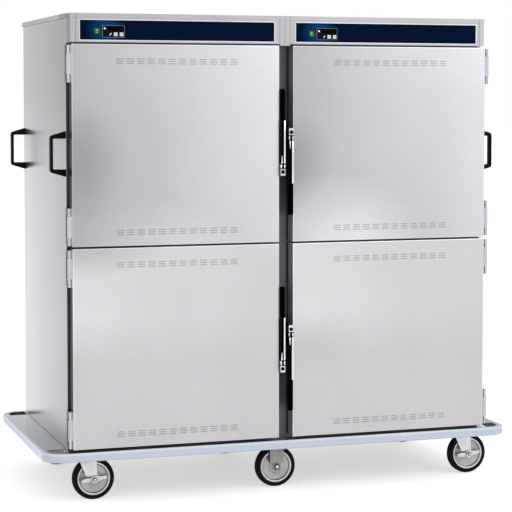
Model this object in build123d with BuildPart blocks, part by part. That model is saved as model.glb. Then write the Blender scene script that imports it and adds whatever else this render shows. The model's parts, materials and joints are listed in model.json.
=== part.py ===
from build123d import *

import os

# Heated banquet cart: a four-door insulated cabinet on a bumpered base with six casters.
# All sizes are millimetres. The front faces -Y, X runs to the right, Z is up,
# and the origin is on the floor under the middle of the base.

# Cabinet shell
cabinet_width = 1590.0
cabinet_depth = 800.0
overall_height = 1735.0
shell_sheet = 1.2
frame_sheet = 1.5
lip_height = 16.0
lip_overhang = 4.0
flange_width = 20.0

# Base, deck and bumper
bumper_side_overhang = 95.0
bumper_front_overhang = 75.0
bumper_rear_overhang = 40.0
bumper_height = 31.0
bumper_thickness = 12.0
bumper_corner_radius = 70.0
bumper_edge_round = 5.0
deck_sheet = 2.0
deck_skirt_recess = 2.0
slot_reach_back = 20.0
slot_margin = 11.0
slot_cabinet_gap = 5.0
rail_width = 40.0
rail_height = 16.0
rail_wall = 2.0
rail_reach = 90.0
pad_thickness = 8.0
pad_reach = 62.0

# Casters
wheel_radius = 76.2
wheel_width = 32.0
tyre_inner_radius = 60.0
tyre_edge_round = 8.0
hub_rim_width = 6.0
hub_recess = 7.0
hub_length = 40.0
hub_boss_radius = 16.0
axle_radius = 6.0
axle_head_radius = 9.5
axle_head_height = 6.0
running_clearance = 0.06
face_clearance = 0.4
tyre_clearance = 11.2
crown_thickness = 8.0
crown_radius = 38.0
race_height = 9.0
race_radius = 34.0
kingpin_radius = 8.0
kingpin_head_radius = 13.0
kingpin_head_height = 4.0
top_plate_thickness = 4.0
top_plate_length = 114.0
top_plate_width = 100.0
fork_sheet = 4.0
fork_end_radius = 13.0
fork_top_front = 18.0
fork_top_back = 44.0
caster_trail = 44.0
caster_side_inset = 61.0
caster_end_inset = 141.0
rigid_leg_width = 52.0
rigid_tab_radius = 16.0
rigid_leg_end_rise = 12.0
brake_sheet = 3.0
brake_reach = 47.0
brake_boss_radius = 14.0
brake_arm_height = 12.0
brake_rest_angle = 6.0

# Doors
door_gap = 6.0
door_floor_gap = 10.0
door_thickness = 50.0
door_side_inset = 8.0
door_skin = 1.2
door_edge_round = 2.5
door_plug_depth = 8.0
door_plug_margin = 48.0
door_plug_round = 4.0
door_standoff = 12.0
gasket_clearance = 0.4
gasket_width = 14.0
gasket_margin = 15.0
latch_recess_width = 52.0

# Rows of vent marks pressed into each door face
vent_groups = 12
vent_slots = 3
vent_pitch = 38.0
vent_width = 27.0
vent_slot_height = 3.6
vent_slot_pitch = 8.0
vent_depth = 0.6
vent_top_margin = 60.0
vent_bottom_margin = 48.0

# Door frame and heated compartments
door_frame_overlap = 35.0
stile_width = 60.0
bottom_rail_height = 45.0
compartment_depth = 720.0
liner_sheet = 0.9
insulation_thickness = 25.0
cable_thickness = 5.0
cable_loops = 8
shelves_per_bay = 4
shelves_below_mid_rail = 2
shelf_first_height = 60.0
shelf_side_clearance = 4.0
shelf_end_clearance = 12.0
shelf_rod = 8.0
shelf_wire = 4.0
shelf_wires = 16
ledge_width = 14.0
ledge_thickness = 3.0

# Hinges
hinge_length = 130.0
hinge_middle_length = 73.0
hinge_end_margin = 5.0
hinge_axis_out = 9.5
hinge_axis_behind_face = 7.5
hinge_middle_radius = 8.0
hinge_end_radius = 6.0
hinge_pin_radius = 3.0
hinge_plate = 3.0
hinge_foot_width = 22.0
hinge_leaf_depth = 30.0

# Latches
latch_width = 20.0
latch_edge_gap = 1.5
latch_body_height = 44.0
latch_body_depth = 40.0
latch_proud = 12.0
latch_edge_round = 1.5
latch_nose_round = 11.5
latch_pivot_setback = 12.0
latch_slot_width = 8.6
latch_slot_clearance = 0.5
latch_tang_width = 8.0
latch_tang_radius = 8.0
latch_tang_overlap = 20.0
latch_pin_radius = 2.5
latch_lever_gap = 0.6
latch_lever_reach = 281.0
latch_lever_width = 18.0
latch_lever_depth = 16.0
latch_grip_length = 114.0
latch_grip_round = 4.0
latch_strip_width = 8.0
latch_channel_wall = 2.0
lock_drop = 8.0
lock_radius = 5.0
lock_depth = 4.0
left_latch_height = 262.0
right_latch_height = 389.0
keeper_width = 8.0
keeper_height = 12.0
keeper_foot_height = 32.0
keeper_foot_sheet = 2.0
keeper_clearance = 1.5

# Control bonnets
bonnet_height = 101.0
bonnet_side_inset = 7.0
bonnet_setback = 14.0
panel_seam = 1.0
bonnet_cap_depth = 90.0
bonnet_lip_proud = 2.0
bonnet_fold_width = 19.0
fold_line_width = 0.8
fold_line_depth = 0.5
overlay_end_inset = 41.0
overlay_height = 68.5
overlay_bottom_margin = 8.5
overlay_sheet = 1.5
trim_width = 4.0

# Controllers and switches, placed from the left end of each overlay
switch_offset = 60.0
controller_offset = 119.0
control_drop = 5.0
controller_width = 80.0
controller_height = 42.0
controller_rim = 4.0
bezel_thickness = 2.5
controller_rear_gap = 4.0
window_width = 56.0
window_height = 16.0
window_shift = 9.0
window_rise = 10.0
window_recess = 0.5
key_size = 13.0
key_thickness = 4.8
key_clearance = 0.4
key_travel = 0.6
key_proud = 0.8
key_round = 1.0
key_first_shift = 8.0
key_pitch = 21.0
key_drop = 10.0
switch_width = 25.0
switch_height = 29.0
switch_bezel = 2.0
switch_body_rim = 2.0
switch_body_depth = 24.0
rocker_pocket_depth = 12.0
rocker_width = 18.2
rocker_height = 17.8
rocker_side_clearance = 0.4
rocker_end_clearance = 1.1
rocker_tilt = 6.0
rocker_sink = 0.5
rocker_pivot_depth = 5.0
rocker_back = 3.0
rocker_pin_radius = 1.5
fit_clearance = 0.5

# Push handles
handle_height = 160.0
handle_opening = 108.0
handle_grip_corner = 64.0
handle_reach = 55.0
handle_grip_thickness = 10.5
handle_width = 22.0
handle_centre_height = 1243.0
handle_end_inset = 5.0
handle_corner_round = 12.0
handle_inner_round = 4.0
handle_edge_round = 2.5

# Power inlet at the back
inlet_plate_size = 90.0
inlet_plate_sheet = 3.0
inlet_radius = 17.0
inlet_length = 26.0
inlet_bore_radius = 7.0
inlet_side_inset = 235.0
inlet_height = 160.0

# Places that follow from the sizes above
overall_width = cabinet_width + 2 * bumper_side_overhang
overall_depth = cabinet_depth + bumper_front_overhang + bumper_rear_overhang
half_width = overall_width / 2
half_depth = overall_depth / 2
front_plane = bumper_front_overhang - half_depth
rear_plane = front_plane + cabinet_depth
side_plane = cabinet_width / 2

wheel_centre_height = wheel_radius
crown_bottom = 2 * wheel_radius + tyre_clearance
crown_top = crown_bottom + crown_thickness
race_bottom = crown_top + face_clearance
plate_bottom = race_bottom + race_height
pad_bottom = plate_bottom + top_plate_thickness
rail_top = pad_bottom + pad_thickness
rail_bottom = rail_top - rail_height
deck_top = rail_top + deck_sheet
bumper_bottom = deck_top - bumper_height

caster_x = side_plane - caster_side_inset
caster_y = half_depth - caster_end_inset
leg_inner = hub_length / 2 + face_clearance
leg_outer = leg_inner + fork_sheet

bonnet_bottom = overall_height - bonnet_height
shell_top = overall_height - shell_sheet
lip_bottom = overall_height - lip_height
cap_seam_y = front_plane + bonnet_cap_depth
door_back = front_plane - door_standoff
door_face = door_back - door_thickness
bonnet_face = door_face + bonnet_setback
bonnet_x = side_plane - bonnet_side_inset
door_outer_x = side_plane - door_side_inset
door_inner_x = latch_recess_width / 2
door_middle_x = (door_outer_x + door_inner_x) / 2
lower_door_bottom = deck_top + door_floor_gap
door_height = (bonnet_bottom - lower_door_bottom - 2 * door_gap) / 2
upper_door_bottom = lower_door_bottom + door_height + door_gap
door_bottoms = {"upper": upper_door_bottom, "lower": lower_door_bottom}
sides = {"left": -1, "right": 1}

mullion_half = door_inner_x + door_frame_overlap
opening_outer_x = side_plane - stile_width
opening_width = opening_outer_x - mullion_half
opening_middle_x = (opening_outer_x + mullion_half) / 2
compartment_bottom = deck_top + bottom_rail_height
compartment_top = bonnet_bottom - door_gap - door_frame_overlap
mid_rail_bottom = upper_door_bottom - door_gap - door_frame_overlap
mid_rail_top = upper_door_bottom + door_frame_overlap
liner_front = front_plane + frame_sheet
liner_back = liner_front + compartment_depth

overlay_bottom = bonnet_bottom + overlay_bottom_margin
overlay_middle = overlay_bottom + overlay_height / 2
overlay_face = bonnet_face - overlay_sheet
overlay_width = side_plane - panel_seam / 2 - 2 * overlay_end_inset
overlay_left_ends = {
    "left": -side_plane + overlay_end_inset,
    "right": panel_seam / 2 + overlay_end_inset,
}
control_height = overlay_middle - control_drop

hinge_axis_x = door_outer_x + hinge_axis_out
hinge_axis_y = door_face + hinge_axis_behind_face
latch_front = door_face - latch_proud
latch_back = latch_front + latch_body_depth
latch_middle_x = door_inner_x - latch_width / 2
lever_middle_x = door_inner_x - latch_edge_gap - latch_lever_width / 2
latch_pivot_y = latch_front + latch_pivot_setback
latch_pivot_rise = latch_body_height / 2 - latch_pivot_setback
# The left latches point their levers up and the right latches point them down
latches = {
    "left": {"height": left_latch_height, "up": 1},
    "right": {"height": right_latch_height, "up": -1},
}

os.makedirs("parts", exist_ok=True)


def save(piece, name):
    """Label a finished piece and write it as a STEP file of the same name."""
    piece.part.label = name
    export_step(piece.part, f"parts/{name}.step")


def block(x_range, y_range, z_range, mode=Mode.ADD):
    """A box given by its two ends along X, Y and Z, in either order."""
    spans = (x_range, y_range, z_range)
    centre = tuple((first + last) / 2 for first, last in spans)
    size = tuple(abs(last - first) for first, last in spans)
    with Locations(centre):
        Box(*size, mode=mode)


def facing_front(y):
    """The upright plane at the given depth, seen from the front, with X right and Z up."""
    return Plane.XZ.offset(-y)


def bar(plane, centre, radius, length, mode):
    """A round bar that starts on a plane and runs along its normal."""
    with BuildSketch(plane) as section:
        with Locations(centre):
            Circle(radius)
    extrude(section.sketch, amount=length, mode=mode)


def pillar(centre, radius, z_range, mode=Mode.ADD):
    """An upright round bar between two heights."""
    bar(Plane.XY.offset(min(z_range)), centre, radius, abs(z_range[1] - z_range[0]), mode)


def cross_bar(y_and_z, radius, x_range, mode=Mode.ADD):
    """A round bar along X between two places."""
    bar(Plane.YZ.offset(min(x_range)), y_and_z, radius, abs(x_range[1] - x_range[0]), mode)


def depth_bar(x_and_z, radius, y_range, mode=Mode.ADD):
    """A round bar along Y between two places."""
    bar(facing_front(max(y_range)), x_and_z, radius, abs(y_range[1] - y_range[0]), mode)


# Base frame: channels under the deck, open below, with a thick pad above each caster
rail_outer_x = half_width - bumper_thickness - deck_sheet
rail_outer_y = half_depth - bumper_thickness - deck_sheet
cross_rail_places = [-caster_x + rail_reach, -rail_reach, rail_reach, caster_x - rail_reach]
inner_rail_y = caster_y - rail_reach


def rail_outline(shrink):
    """Plan of all the rails, with every side pulled in by the given amount."""
    width = rail_width - 2 * shrink
    end_rail_y = rail_outer_y - rail_width / 2
    side_rail_x = rail_outer_x - rail_width / 2
    with Locations((0, end_rail_y), (0, -end_rail_y)):
        Rectangle(2 * side_plane - 2 * shrink, width)
    with Locations((0, inner_rail_y), (0, -inner_rail_y)):
        Rectangle(2 * rail_outer_x - 2 * shrink, width)
    with Locations((side_rail_x, 0), (-side_rail_x, 0)):
        Rectangle(width, 2 * inner_rail_y + rail_width - 2 * shrink)
    with Locations(*[(x, 0) for x in cross_rail_places]):
        Rectangle(width, 2 * rail_outer_y - 2 * shrink)


with BuildPart() as base_frame:
    with BuildSketch(Plane.XY.offset(rail_bottom)):
        rail_outline(0)
    extrude(amount=rail_height)
    with BuildSketch(Plane.XY.offset(rail_bottom)):
        rail_outline(rail_wall)
    extrude(amount=rail_height - rail_wall, mode=Mode.SUBTRACT)
    for end in (-1, 1):
        pad_y = (end * inner_rail_y, end * (caster_y + pad_reach))
        block((-rail_reach, rail_reach), pad_y, (pad_bottom, rail_top))
        for sign in sides.values():
            pad_x = (sign * (caster_x - rail_reach), sign * (caster_x + pad_reach))
            block(pad_x, pad_y, (pad_bottom, rail_top))
save(base_frame, "base_frame")


# Deck: a pan with turned-down edges and an open slot at each corner
inner_width = overall_width - 2 * bumper_thickness
inner_depth = overall_depth - 2 * bumper_thickness
inner_corner_radius = bumper_corner_radius - bumper_thickness
skirt_bottom = bumper_bottom + deck_skirt_recess
slot_inner_x = side_plane + slot_cabinet_gap
slot_inner_y = half_depth - bumper_front_overhang - slot_reach_back


def inner_outline(inset):
    """Plan of the deck, with every side pulled in by the given amount."""
    RectangleRounded(inner_width - 2 * inset, inner_depth - 2 * inset, inner_corner_radius - inset)


with BuildPart() as base_deck:
    with BuildSketch(Plane.XY.offset(skirt_bottom)):
        inner_outline(0)
    extrude(amount=deck_top - skirt_bottom)
    with BuildSketch(Plane.XY.offset(skirt_bottom)):
        inner_outline(deck_sheet)
    extrude(amount=rail_top - skirt_bottom, mode=Mode.SUBTRACT)
    with BuildSketch(Plane.XY.offset(rail_top)):
        inner_outline(slot_margin)
        Rectangle(2 * slot_inner_x, overall_depth, mode=Mode.SUBTRACT)
        Rectangle(overall_width, 2 * slot_inner_y, mode=Mode.SUBTRACT)
    extrude(amount=deck_sheet, mode=Mode.SUBTRACT)
save(base_deck, "base_deck")


# Bumper: one closed band round the deck
with BuildPart() as bumper:
    with BuildSketch(Plane.XY.offset(bumper_bottom)):
        RectangleRounded(overall_width, overall_depth, bumper_corner_radius)
        RectangleRounded(inner_width, inner_depth, inner_corner_radius, mode=Mode.SUBTRACT)
    extrude(amount=bumper_height)
    band_ends = bumper.faces().filter_by(Axis.Z)
    fillet([edge for face in band_ends for edge in face.outer_wire().edges()], bumper_edge_round)
save(bumper, "bumper")


# Side panels: a sheet on each side, with a return flange behind the door frame
with BuildPart() as side_panels:
    for sign in sides.values():
        sheet_x = sign * (side_plane - shell_sheet)
        block((sheet_x, sign * side_plane), (front_plane, rear_plane), (deck_top, shell_top))
        flange_y = (liner_front, liner_front + shell_sheet)
        block((sheet_x - sign * flange_width, sheet_x), flange_y, (deck_top, shell_top))
save(side_panels, "side_panels")

inside_shell_x = (shell_sheet - side_plane, side_plane - shell_sheet)
with BuildPart() as back_panel:
    block(inside_shell_x, (rear_plane - shell_sheet, rear_plane), (deck_top, shell_top))
save(back_panel, "back_panel")


# Top panel: a shallow tray turned down over the side and back panels
lip_x = side_plane + lip_overhang
lip_rear = rear_plane + lip_overhang
with BuildPart() as top_panel:
    block((-lip_x, lip_x), (cap_seam_y + panel_seam, lip_rear), (lip_bottom, overall_height))
    block(
        (shell_sheet - lip_x, lip_x - shell_sheet),
        (cap_seam_y + panel_seam, lip_rear - shell_sheet),
        (lip_bottom, shell_top),
        mode=Mode.SUBTRACT,
    )
save(top_panel, "top_panel")


# Door frame: one plate with an opening behind each door
with BuildPart() as front_frame:
    block(inside_shell_x, (front_plane, liner_front), (deck_top, shell_top))
    for sign in sides.values():
        opening_x = (sign * mullion_half, sign * opening_outer_x)
        for opening_z in ((compartment_bottom, mid_rail_bottom), (mid_rail_top, compartment_top)):
            block(opening_x, (front_plane, liner_front), opening_z, mode=Mode.SUBTRACT)
save(front_frame, "front_frame")


# Compartment liners: an open-fronted tank in each bay, with ledges for the shelves.
# The shelves are evenly spaced, with one of them level with the rail between the doors.
first_shelf_height = compartment_bottom + shelf_first_height
mid_shelf_height = (mid_rail_bottom + mid_rail_top - shelf_rod) / 2
shelf_pitch = (mid_shelf_height - first_shelf_height) / shelves_below_mid_rail
shelf_heights = [first_shelf_height + index * shelf_pitch for index in range(shelves_per_bay)]
for side, sign in sides.items():
    with BuildPart() as liner:
        middle_x = sign * opening_middle_x
        outer_x = opening_width / 2 + liner_sheet
        inner_x = opening_width / 2
        block(
            (middle_x - outer_x, middle_x + outer_x),
            (liner_front, liner_back),
            (compartment_bottom - liner_sheet, compartment_top + liner_sheet),
        )
        block(
            (middle_x - inner_x, middle_x + inner_x),
            (liner_front, liner_back - liner_sheet),
            (compartment_bottom, compartment_top),
            mode=Mode.SUBTRACT,
        )
        for shelf_height in shelf_heights:
            for wall_x in (-inner_x, inner_x - ledge_width):
                block(
                    (middle_x + wall_x, middle_x + wall_x + ledge_width),
                    (liner_front + shelf_end_clearance, liner_back - liner_sheet),
                    (shelf_height - ledge_thickness, shelf_height),
                )
    save(liner, f"{side}_compartment_liner")


# Wire shelves: a frame of rods with thin wires laid over it, resting on the ledges
shelf_width = opening_width - 2 * shelf_side_clearance
shelf_depth = compartment_depth - liner_sheet - 2 * shelf_end_clearance
shelf_middle_y = liner_front + shelf_end_clearance + shelf_depth / 2
wire_pitch = (shelf_width - shelf_rod) / (shelf_wires + 1)
with BuildPart() as one_shelf:
    with BuildSketch():
        Rectangle(shelf_width, shelf_depth)
        Rectangle(shelf_width - 2 * shelf_rod, shelf_depth - 2 * shelf_rod, mode=Mode.SUBTRACT)
        Rectangle(shelf_width, shelf_rod)
    extrude(amount=shelf_rod)
    with BuildSketch(Plane.XY.offset(shelf_rod - shelf_wire / 2)):
        with GridLocations(wire_pitch, 0, shelf_wires, 1):
            Rectangle(shelf_wire, shelf_depth - shelf_rod)
    extrude(amount=shelf_wire)

with BuildPart() as wire_shelves:
    for sign in sides.values():
        shelf_x = sign * opening_middle_x
        with Locations(*[(shelf_x, shelf_middle_y, height) for height in shelf_heights]):
            add(one_shelf.part)
save(wire_shelves, "wire_shelves")


# Heating cables: flat loops bound round the sides and back of each liner
cable_pitch = (compartment_top - compartment_bottom) / cable_loops
cable_run = compartment_depth - flange_width
tank_width = opening_width + 2 * liner_sheet
with BuildPart() as heating_cables:
    for index in range(cable_loops):
        loop_height = compartment_bottom + (index + 0.5) * cable_pitch
        with BuildSketch(Plane.XY.offset(loop_height)):
            for sign in sides.values():
                with Locations((sign * opening_middle_x, liner_back)):
                    Rectangle(
                        tank_width + 2 * cable_thickness, cable_run, align=(Align.CENTER, Align.MAX)
                    )
                    Rectangle(
                        tank_width + 2 * cable_thickness, cable_thickness, align=(Align.CENTER, Align.MIN)
                    )
                    Rectangle(tank_width, cable_run, align=(Align.CENTER, Align.MAX), mode=Mode.SUBTRACT)
        extrude(amount=cable_thickness)
save(heating_cables, "heating_cables")


# Insulation: a blanket round each liner, outside its heating cables
with BuildPart() as insulation:
    blanket_front = liner_front + shell_sheet
    cable_back = liner_back + cable_thickness
    tank_z = (compartment_bottom - liner_sheet, compartment_top + liner_sheet)
    for sign in sides.values():
        middle_x = sign * opening_middle_x
        inner_x = tank_width / 2 + cable_thickness
        outer_x = inner_x + insulation_thickness
        block(
            (middle_x - outer_x, middle_x + outer_x),
            (blanket_front, cable_back + insulation_thickness),
            (tank_z[0] - insulation_thickness, tank_z[1] + insulation_thickness),
        )
        block(
            (middle_x - inner_x, middle_x + inner_x),
            (blanket_front, cable_back),
            tank_z,
            mode=Mode.SUBTRACT,
        )
save(insulation, "insulation")


# Control bonnets: a hood over each pair of doors, with a cap that runs back over the shell
controller_body = (controller_width - 2 * controller_rim, controller_height - 2 * controller_rim)
rocker_opening = (rocker_width + 2 * rocker_side_clearance, rocker_height + 2 * rocker_end_clearance)
switch_body = (rocker_opening[0] + 2 * switch_body_rim, rocker_opening[1] + 2 * switch_body_rim)


def place(side, offset):
    """X and Z of a control, given by its offset from the left end of its overlay."""
    return (overlay_left_ends[side] + offset, control_height)


def control_openings(side, mode):
    """Outlines of the holes for a controller body and a switch body."""
    with Locations(place(side, controller_offset)):
        Rectangle(controller_body[0] + 2 * fit_clearance, controller_body[1] + 2 * fit_clearance, mode=mode)
    with Locations(place(side, switch_offset)):
        Rectangle(switch_body[0] + 2 * fit_clearance, switch_body[1] + 2 * fit_clearance, mode=mode)


def overlay_place(side):
    """X and Z of the middle of an overlay."""
    return (overlay_left_ends[side] + overlay_width / 2, overlay_middle)


cap_z = (lip_bottom, overall_height)
with BuildPart() as control_bonnets:
    for side, sign in sides.items():
        seam_x = sign * panel_seam / 2
        front_cap_x = sign * (bonnet_x + bonnet_lip_proud)
        block((seam_x, sign * bonnet_x), (bonnet_face, front_plane), (bonnet_bottom, lip_bottom))
        block((seam_x, front_cap_x), (bonnet_face - bonnet_lip_proud, front_plane), cap_z)
        block((seam_x, sign * lip_x), (front_plane - shell_sheet, cap_seam_y), cap_z)
        block(
            (seam_x + sign * shell_sheet, sign * (bonnet_x - shell_sheet)),
            (bonnet_face + shell_sheet, front_plane),
            (bonnet_bottom + shell_sheet, shell_top),
            mode=Mode.SUBTRACT,
        )
        block(
            (seam_x, sign * (lip_x - shell_sheet)),
            (front_plane, cap_seam_y),
            (lip_bottom, shell_top),
            mode=Mode.SUBTRACT,
        )
        block(
            (seam_x, seam_x + sign * bonnet_fold_width),
            (bonnet_face, bonnet_face + shell_sheet),
            (bonnet_bottom - door_gap, bonnet_bottom),
        )
        with BuildSketch(facing_front(bonnet_face)):
            with Locations(overlay_place(side)):
                Rectangle(overlay_width + 2 * trim_width, overlay_height + 2 * trim_width)
                Rectangle(overlay_width, overlay_height, mode=Mode.SUBTRACT)
        extrude(amount=overlay_sheet)
        with BuildSketch(facing_front(bonnet_face + shell_sheet)):
            control_openings(side, Mode.ADD)
        extrude(amount=shell_sheet, mode=Mode.SUBTRACT)
        for end_x in (seam_x + sign * bonnet_fold_width, sign * (bonnet_x - bonnet_fold_width)):
            block(
                (end_x - fold_line_width / 2, end_x + fold_line_width / 2),
                (bonnet_face, bonnet_face + fold_line_depth),
                (bonnet_bottom, lip_bottom),
                mode=Mode.SUBTRACT,
            )
save(control_bonnets, "control_bonnets")


with BuildPart() as control_overlays:
    for side in sides:
        with BuildSketch(facing_front(bonnet_face)):
            with Locations(overlay_place(side)):
                Rectangle(overlay_width, overlay_height)
            control_openings(side, Mode.SUBTRACT)
        extrude(amount=overlay_sheet)
save(control_overlays, "control_overlays")


# Control housings: a controller box and a switch body in each bonnet
controller_face = overlay_face - bezel_thickness
switch_face = overlay_face - switch_bezel
key_shifts = {"first": key_first_shift, "second": key_first_shift + key_pitch}
key_front = controller_face - key_proud
key_pocket_back = key_front + key_thickness + key_travel + face_clearance
rocker_pivot_y = overlay_face + rocker_pivot_depth


def front_block(centre, size, y_range, mode=Mode.ADD):
    """A box given by the middle and size of its front, and its two ends along Y."""
    half_x = size[0] / 2
    half_z = size[1] / 2
    x_range = (centre[0] - half_x, centre[0] + half_x)
    z_range = (centre[1] - half_z, centre[1] + half_z)
    block(x_range, y_range, z_range, mode)


def key_place(side, shift):
    """X and Z of a key, given by its shift from the middle of the controller."""
    x, z = place(side, controller_offset)
    return (x + shift, z - key_drop)


with BuildPart() as control_housings:
    for side in sides:
        middle = place(side, controller_offset)
        front_block(middle, (controller_width, controller_height), (controller_face, overlay_face))
        front_block(middle, controller_body, (overlay_face, front_plane - controller_rear_gap))
        window_place = (middle[0] + window_shift, middle[1] + window_rise)
        window_y = (controller_face, controller_face + window_recess)
        front_block(window_place, (window_width, window_height), window_y, Mode.SUBTRACT)
        key_hole = key_size + 2 * key_clearance
        for shift in key_shifts.values():
            key_y = (controller_face, key_pocket_back)
            front_block(key_place(side, shift), (key_hole, key_hole), key_y, Mode.SUBTRACT)
        middle = place(side, switch_offset)
        front_block(middle, (switch_width, switch_height), (switch_face, overlay_face))
        front_block(middle, switch_body, (overlay_face, overlay_face + switch_body_depth))
        pocket_y = (switch_face, overlay_face + rocker_pocket_depth)
        front_block(middle, rocker_opening, pocket_y, Mode.SUBTRACT)
        pin_half = rocker_opening[0] / 2
        pin_x = (middle[0] - pin_half, middle[0] + pin_half)
        cross_bar((rocker_pivot_y, control_height), rocker_pin_radius, pin_x)
save(control_housings, "control_housings")


for side in sides:
    for order, shift in key_shifts.items():
        with BuildPart() as key:
            front_block(
                key_place(side, shift), (key_size, key_size), (key_front, key_front + key_thickness)
            )
            fillet(key.faces().sort_by(Axis.Y)[0].edges(), key_round)
        save(key, f"{side}_{order}_key")


# Rocker switches: a shallow V on a pin across the switch body, resting with its top end pressed in
rocker_centre_reach = rocker_pivot_y - switch_face - rocker_sink
for side in sides:
    middle = place(side, switch_offset)
    with BuildPart() as rocker:
        end_rise = Vector(rocker_height / 2, 0, 0).rotate(Axis.Y, -rocker_tilt).Z
        end_reach = rocker_centre_reach + end_rise
        outline = [
            (rocker_back, -rocker_height / 2),
            (-end_reach, -rocker_height / 2),
            (-rocker_centre_reach, 0),
            (-end_reach, rocker_height / 2),
            (rocker_back, rocker_height / 2),
        ]
        with BuildSketch(Plane.YZ.offset(middle[0] - rocker_width / 2)):
            with Locations(Location((rocker_pivot_y, control_height), -rocker_tilt)):
                Polygon(*outline, align=None)
        extrude(amount=rocker_width)
        bar_x = (middle[0] - rocker_width / 2, middle[0] + rocker_width / 2)
        bore = rocker_pin_radius + running_clearance
        cross_bar((rocker_pivot_y, control_height), bore, bar_x, Mode.SUBTRACT)
    save(rocker, f"{side}_rocker")


# Frame leaves of the hinges: a foot on the door frame, two end knuckles and the pin
def hinge_heights(door_bottom):
    """Middle heights of the two hinges of a door."""
    inset = hinge_end_margin + hinge_length / 2
    return (door_bottom + inset, door_bottom + door_height - inset)


knuckle_start = hinge_middle_length / 2 + face_clearance
all_hinge_heights = [height for bottom in door_bottoms.values() for height in hinge_heights(bottom)]
with BuildPart() as one_frame_leaf:
    low = -hinge_length / 2
    high = hinge_length / 2
    arm_x = (hinge_axis_x - hinge_plate / 2, hinge_axis_x + hinge_plate / 2)
    axis_place = (hinge_axis_x, hinge_axis_y)
    block((arm_x[1] - hinge_foot_width, arm_x[1]), (front_plane - hinge_plate, front_plane), (low, high))
    pillar(axis_place, hinge_pin_radius, (low, high))
    for end_z in ((low, -knuckle_start), (knuckle_start, high)):
        block(arm_x, (hinge_axis_y, front_plane), end_z)
        pillar(axis_place, hinge_end_radius, end_z)

with BuildPart() as hinge_frame_leaves:
    with Locations(*[(0, 0, height) for height in all_hinge_heights]):
        add(one_frame_leaf.part)
    mirror(about=Plane.YZ)
save(hinge_frame_leaves, "hinge_frame_leaves")


# Door gaskets: a ring round each opening, on the door frame
with BuildPart() as door_gaskets:
    for door_bottom in door_bottoms.values():
        for sign in sides.values():
            with BuildSketch(facing_front(front_plane)):
                with Locations((sign * door_middle_x, door_bottom + door_height / 2)):
                    ring_width = door_outer_x - door_inner_x - 2 * gasket_margin
                    ring_height = door_height - 2 * gasket_margin
                    Rectangle(ring_width, ring_height)
                    Rectangle(
                        ring_width - 2 * gasket_width, ring_height - 2 * gasket_width, mode=Mode.SUBTRACT
                    )
            extrude(amount=door_standoff - gasket_clearance)
save(door_gaskets, "door_gaskets")


# Latch keepers: a post on the mullion behind each latch
with BuildPart() as latch_keepers:
    for door_bottom in door_bottoms.values():
        for side, sign in sides.items():
            keeper_place = (sign * latch_middle_x, door_bottom + latches[side]["height"])
            post_y = (latch_back + keeper_clearance, front_plane)
            front_block(keeper_place, (keeper_width, keeper_height), post_y)
            foot_y = (front_plane - keeper_foot_sheet, front_plane)
            front_block(keeper_place, (latch_width, keeper_foot_height), foot_y)
save(latch_keepers, "latch_keepers")


# Doors: an outer pan, a liner with a raised plug, hinge leaves, a latch body and a latch lever
def door_block(sign, door_bottom, inset, y_range, mode=Mode.ADD):
    """A box over the whole door, pulled in by the inset on its four sides."""
    x_range = (sign * (door_inner_x + inset), sign * (door_outer_x - inset))
    block(x_range, y_range, (door_bottom + inset, door_bottom + door_height - inset), mode)


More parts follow.
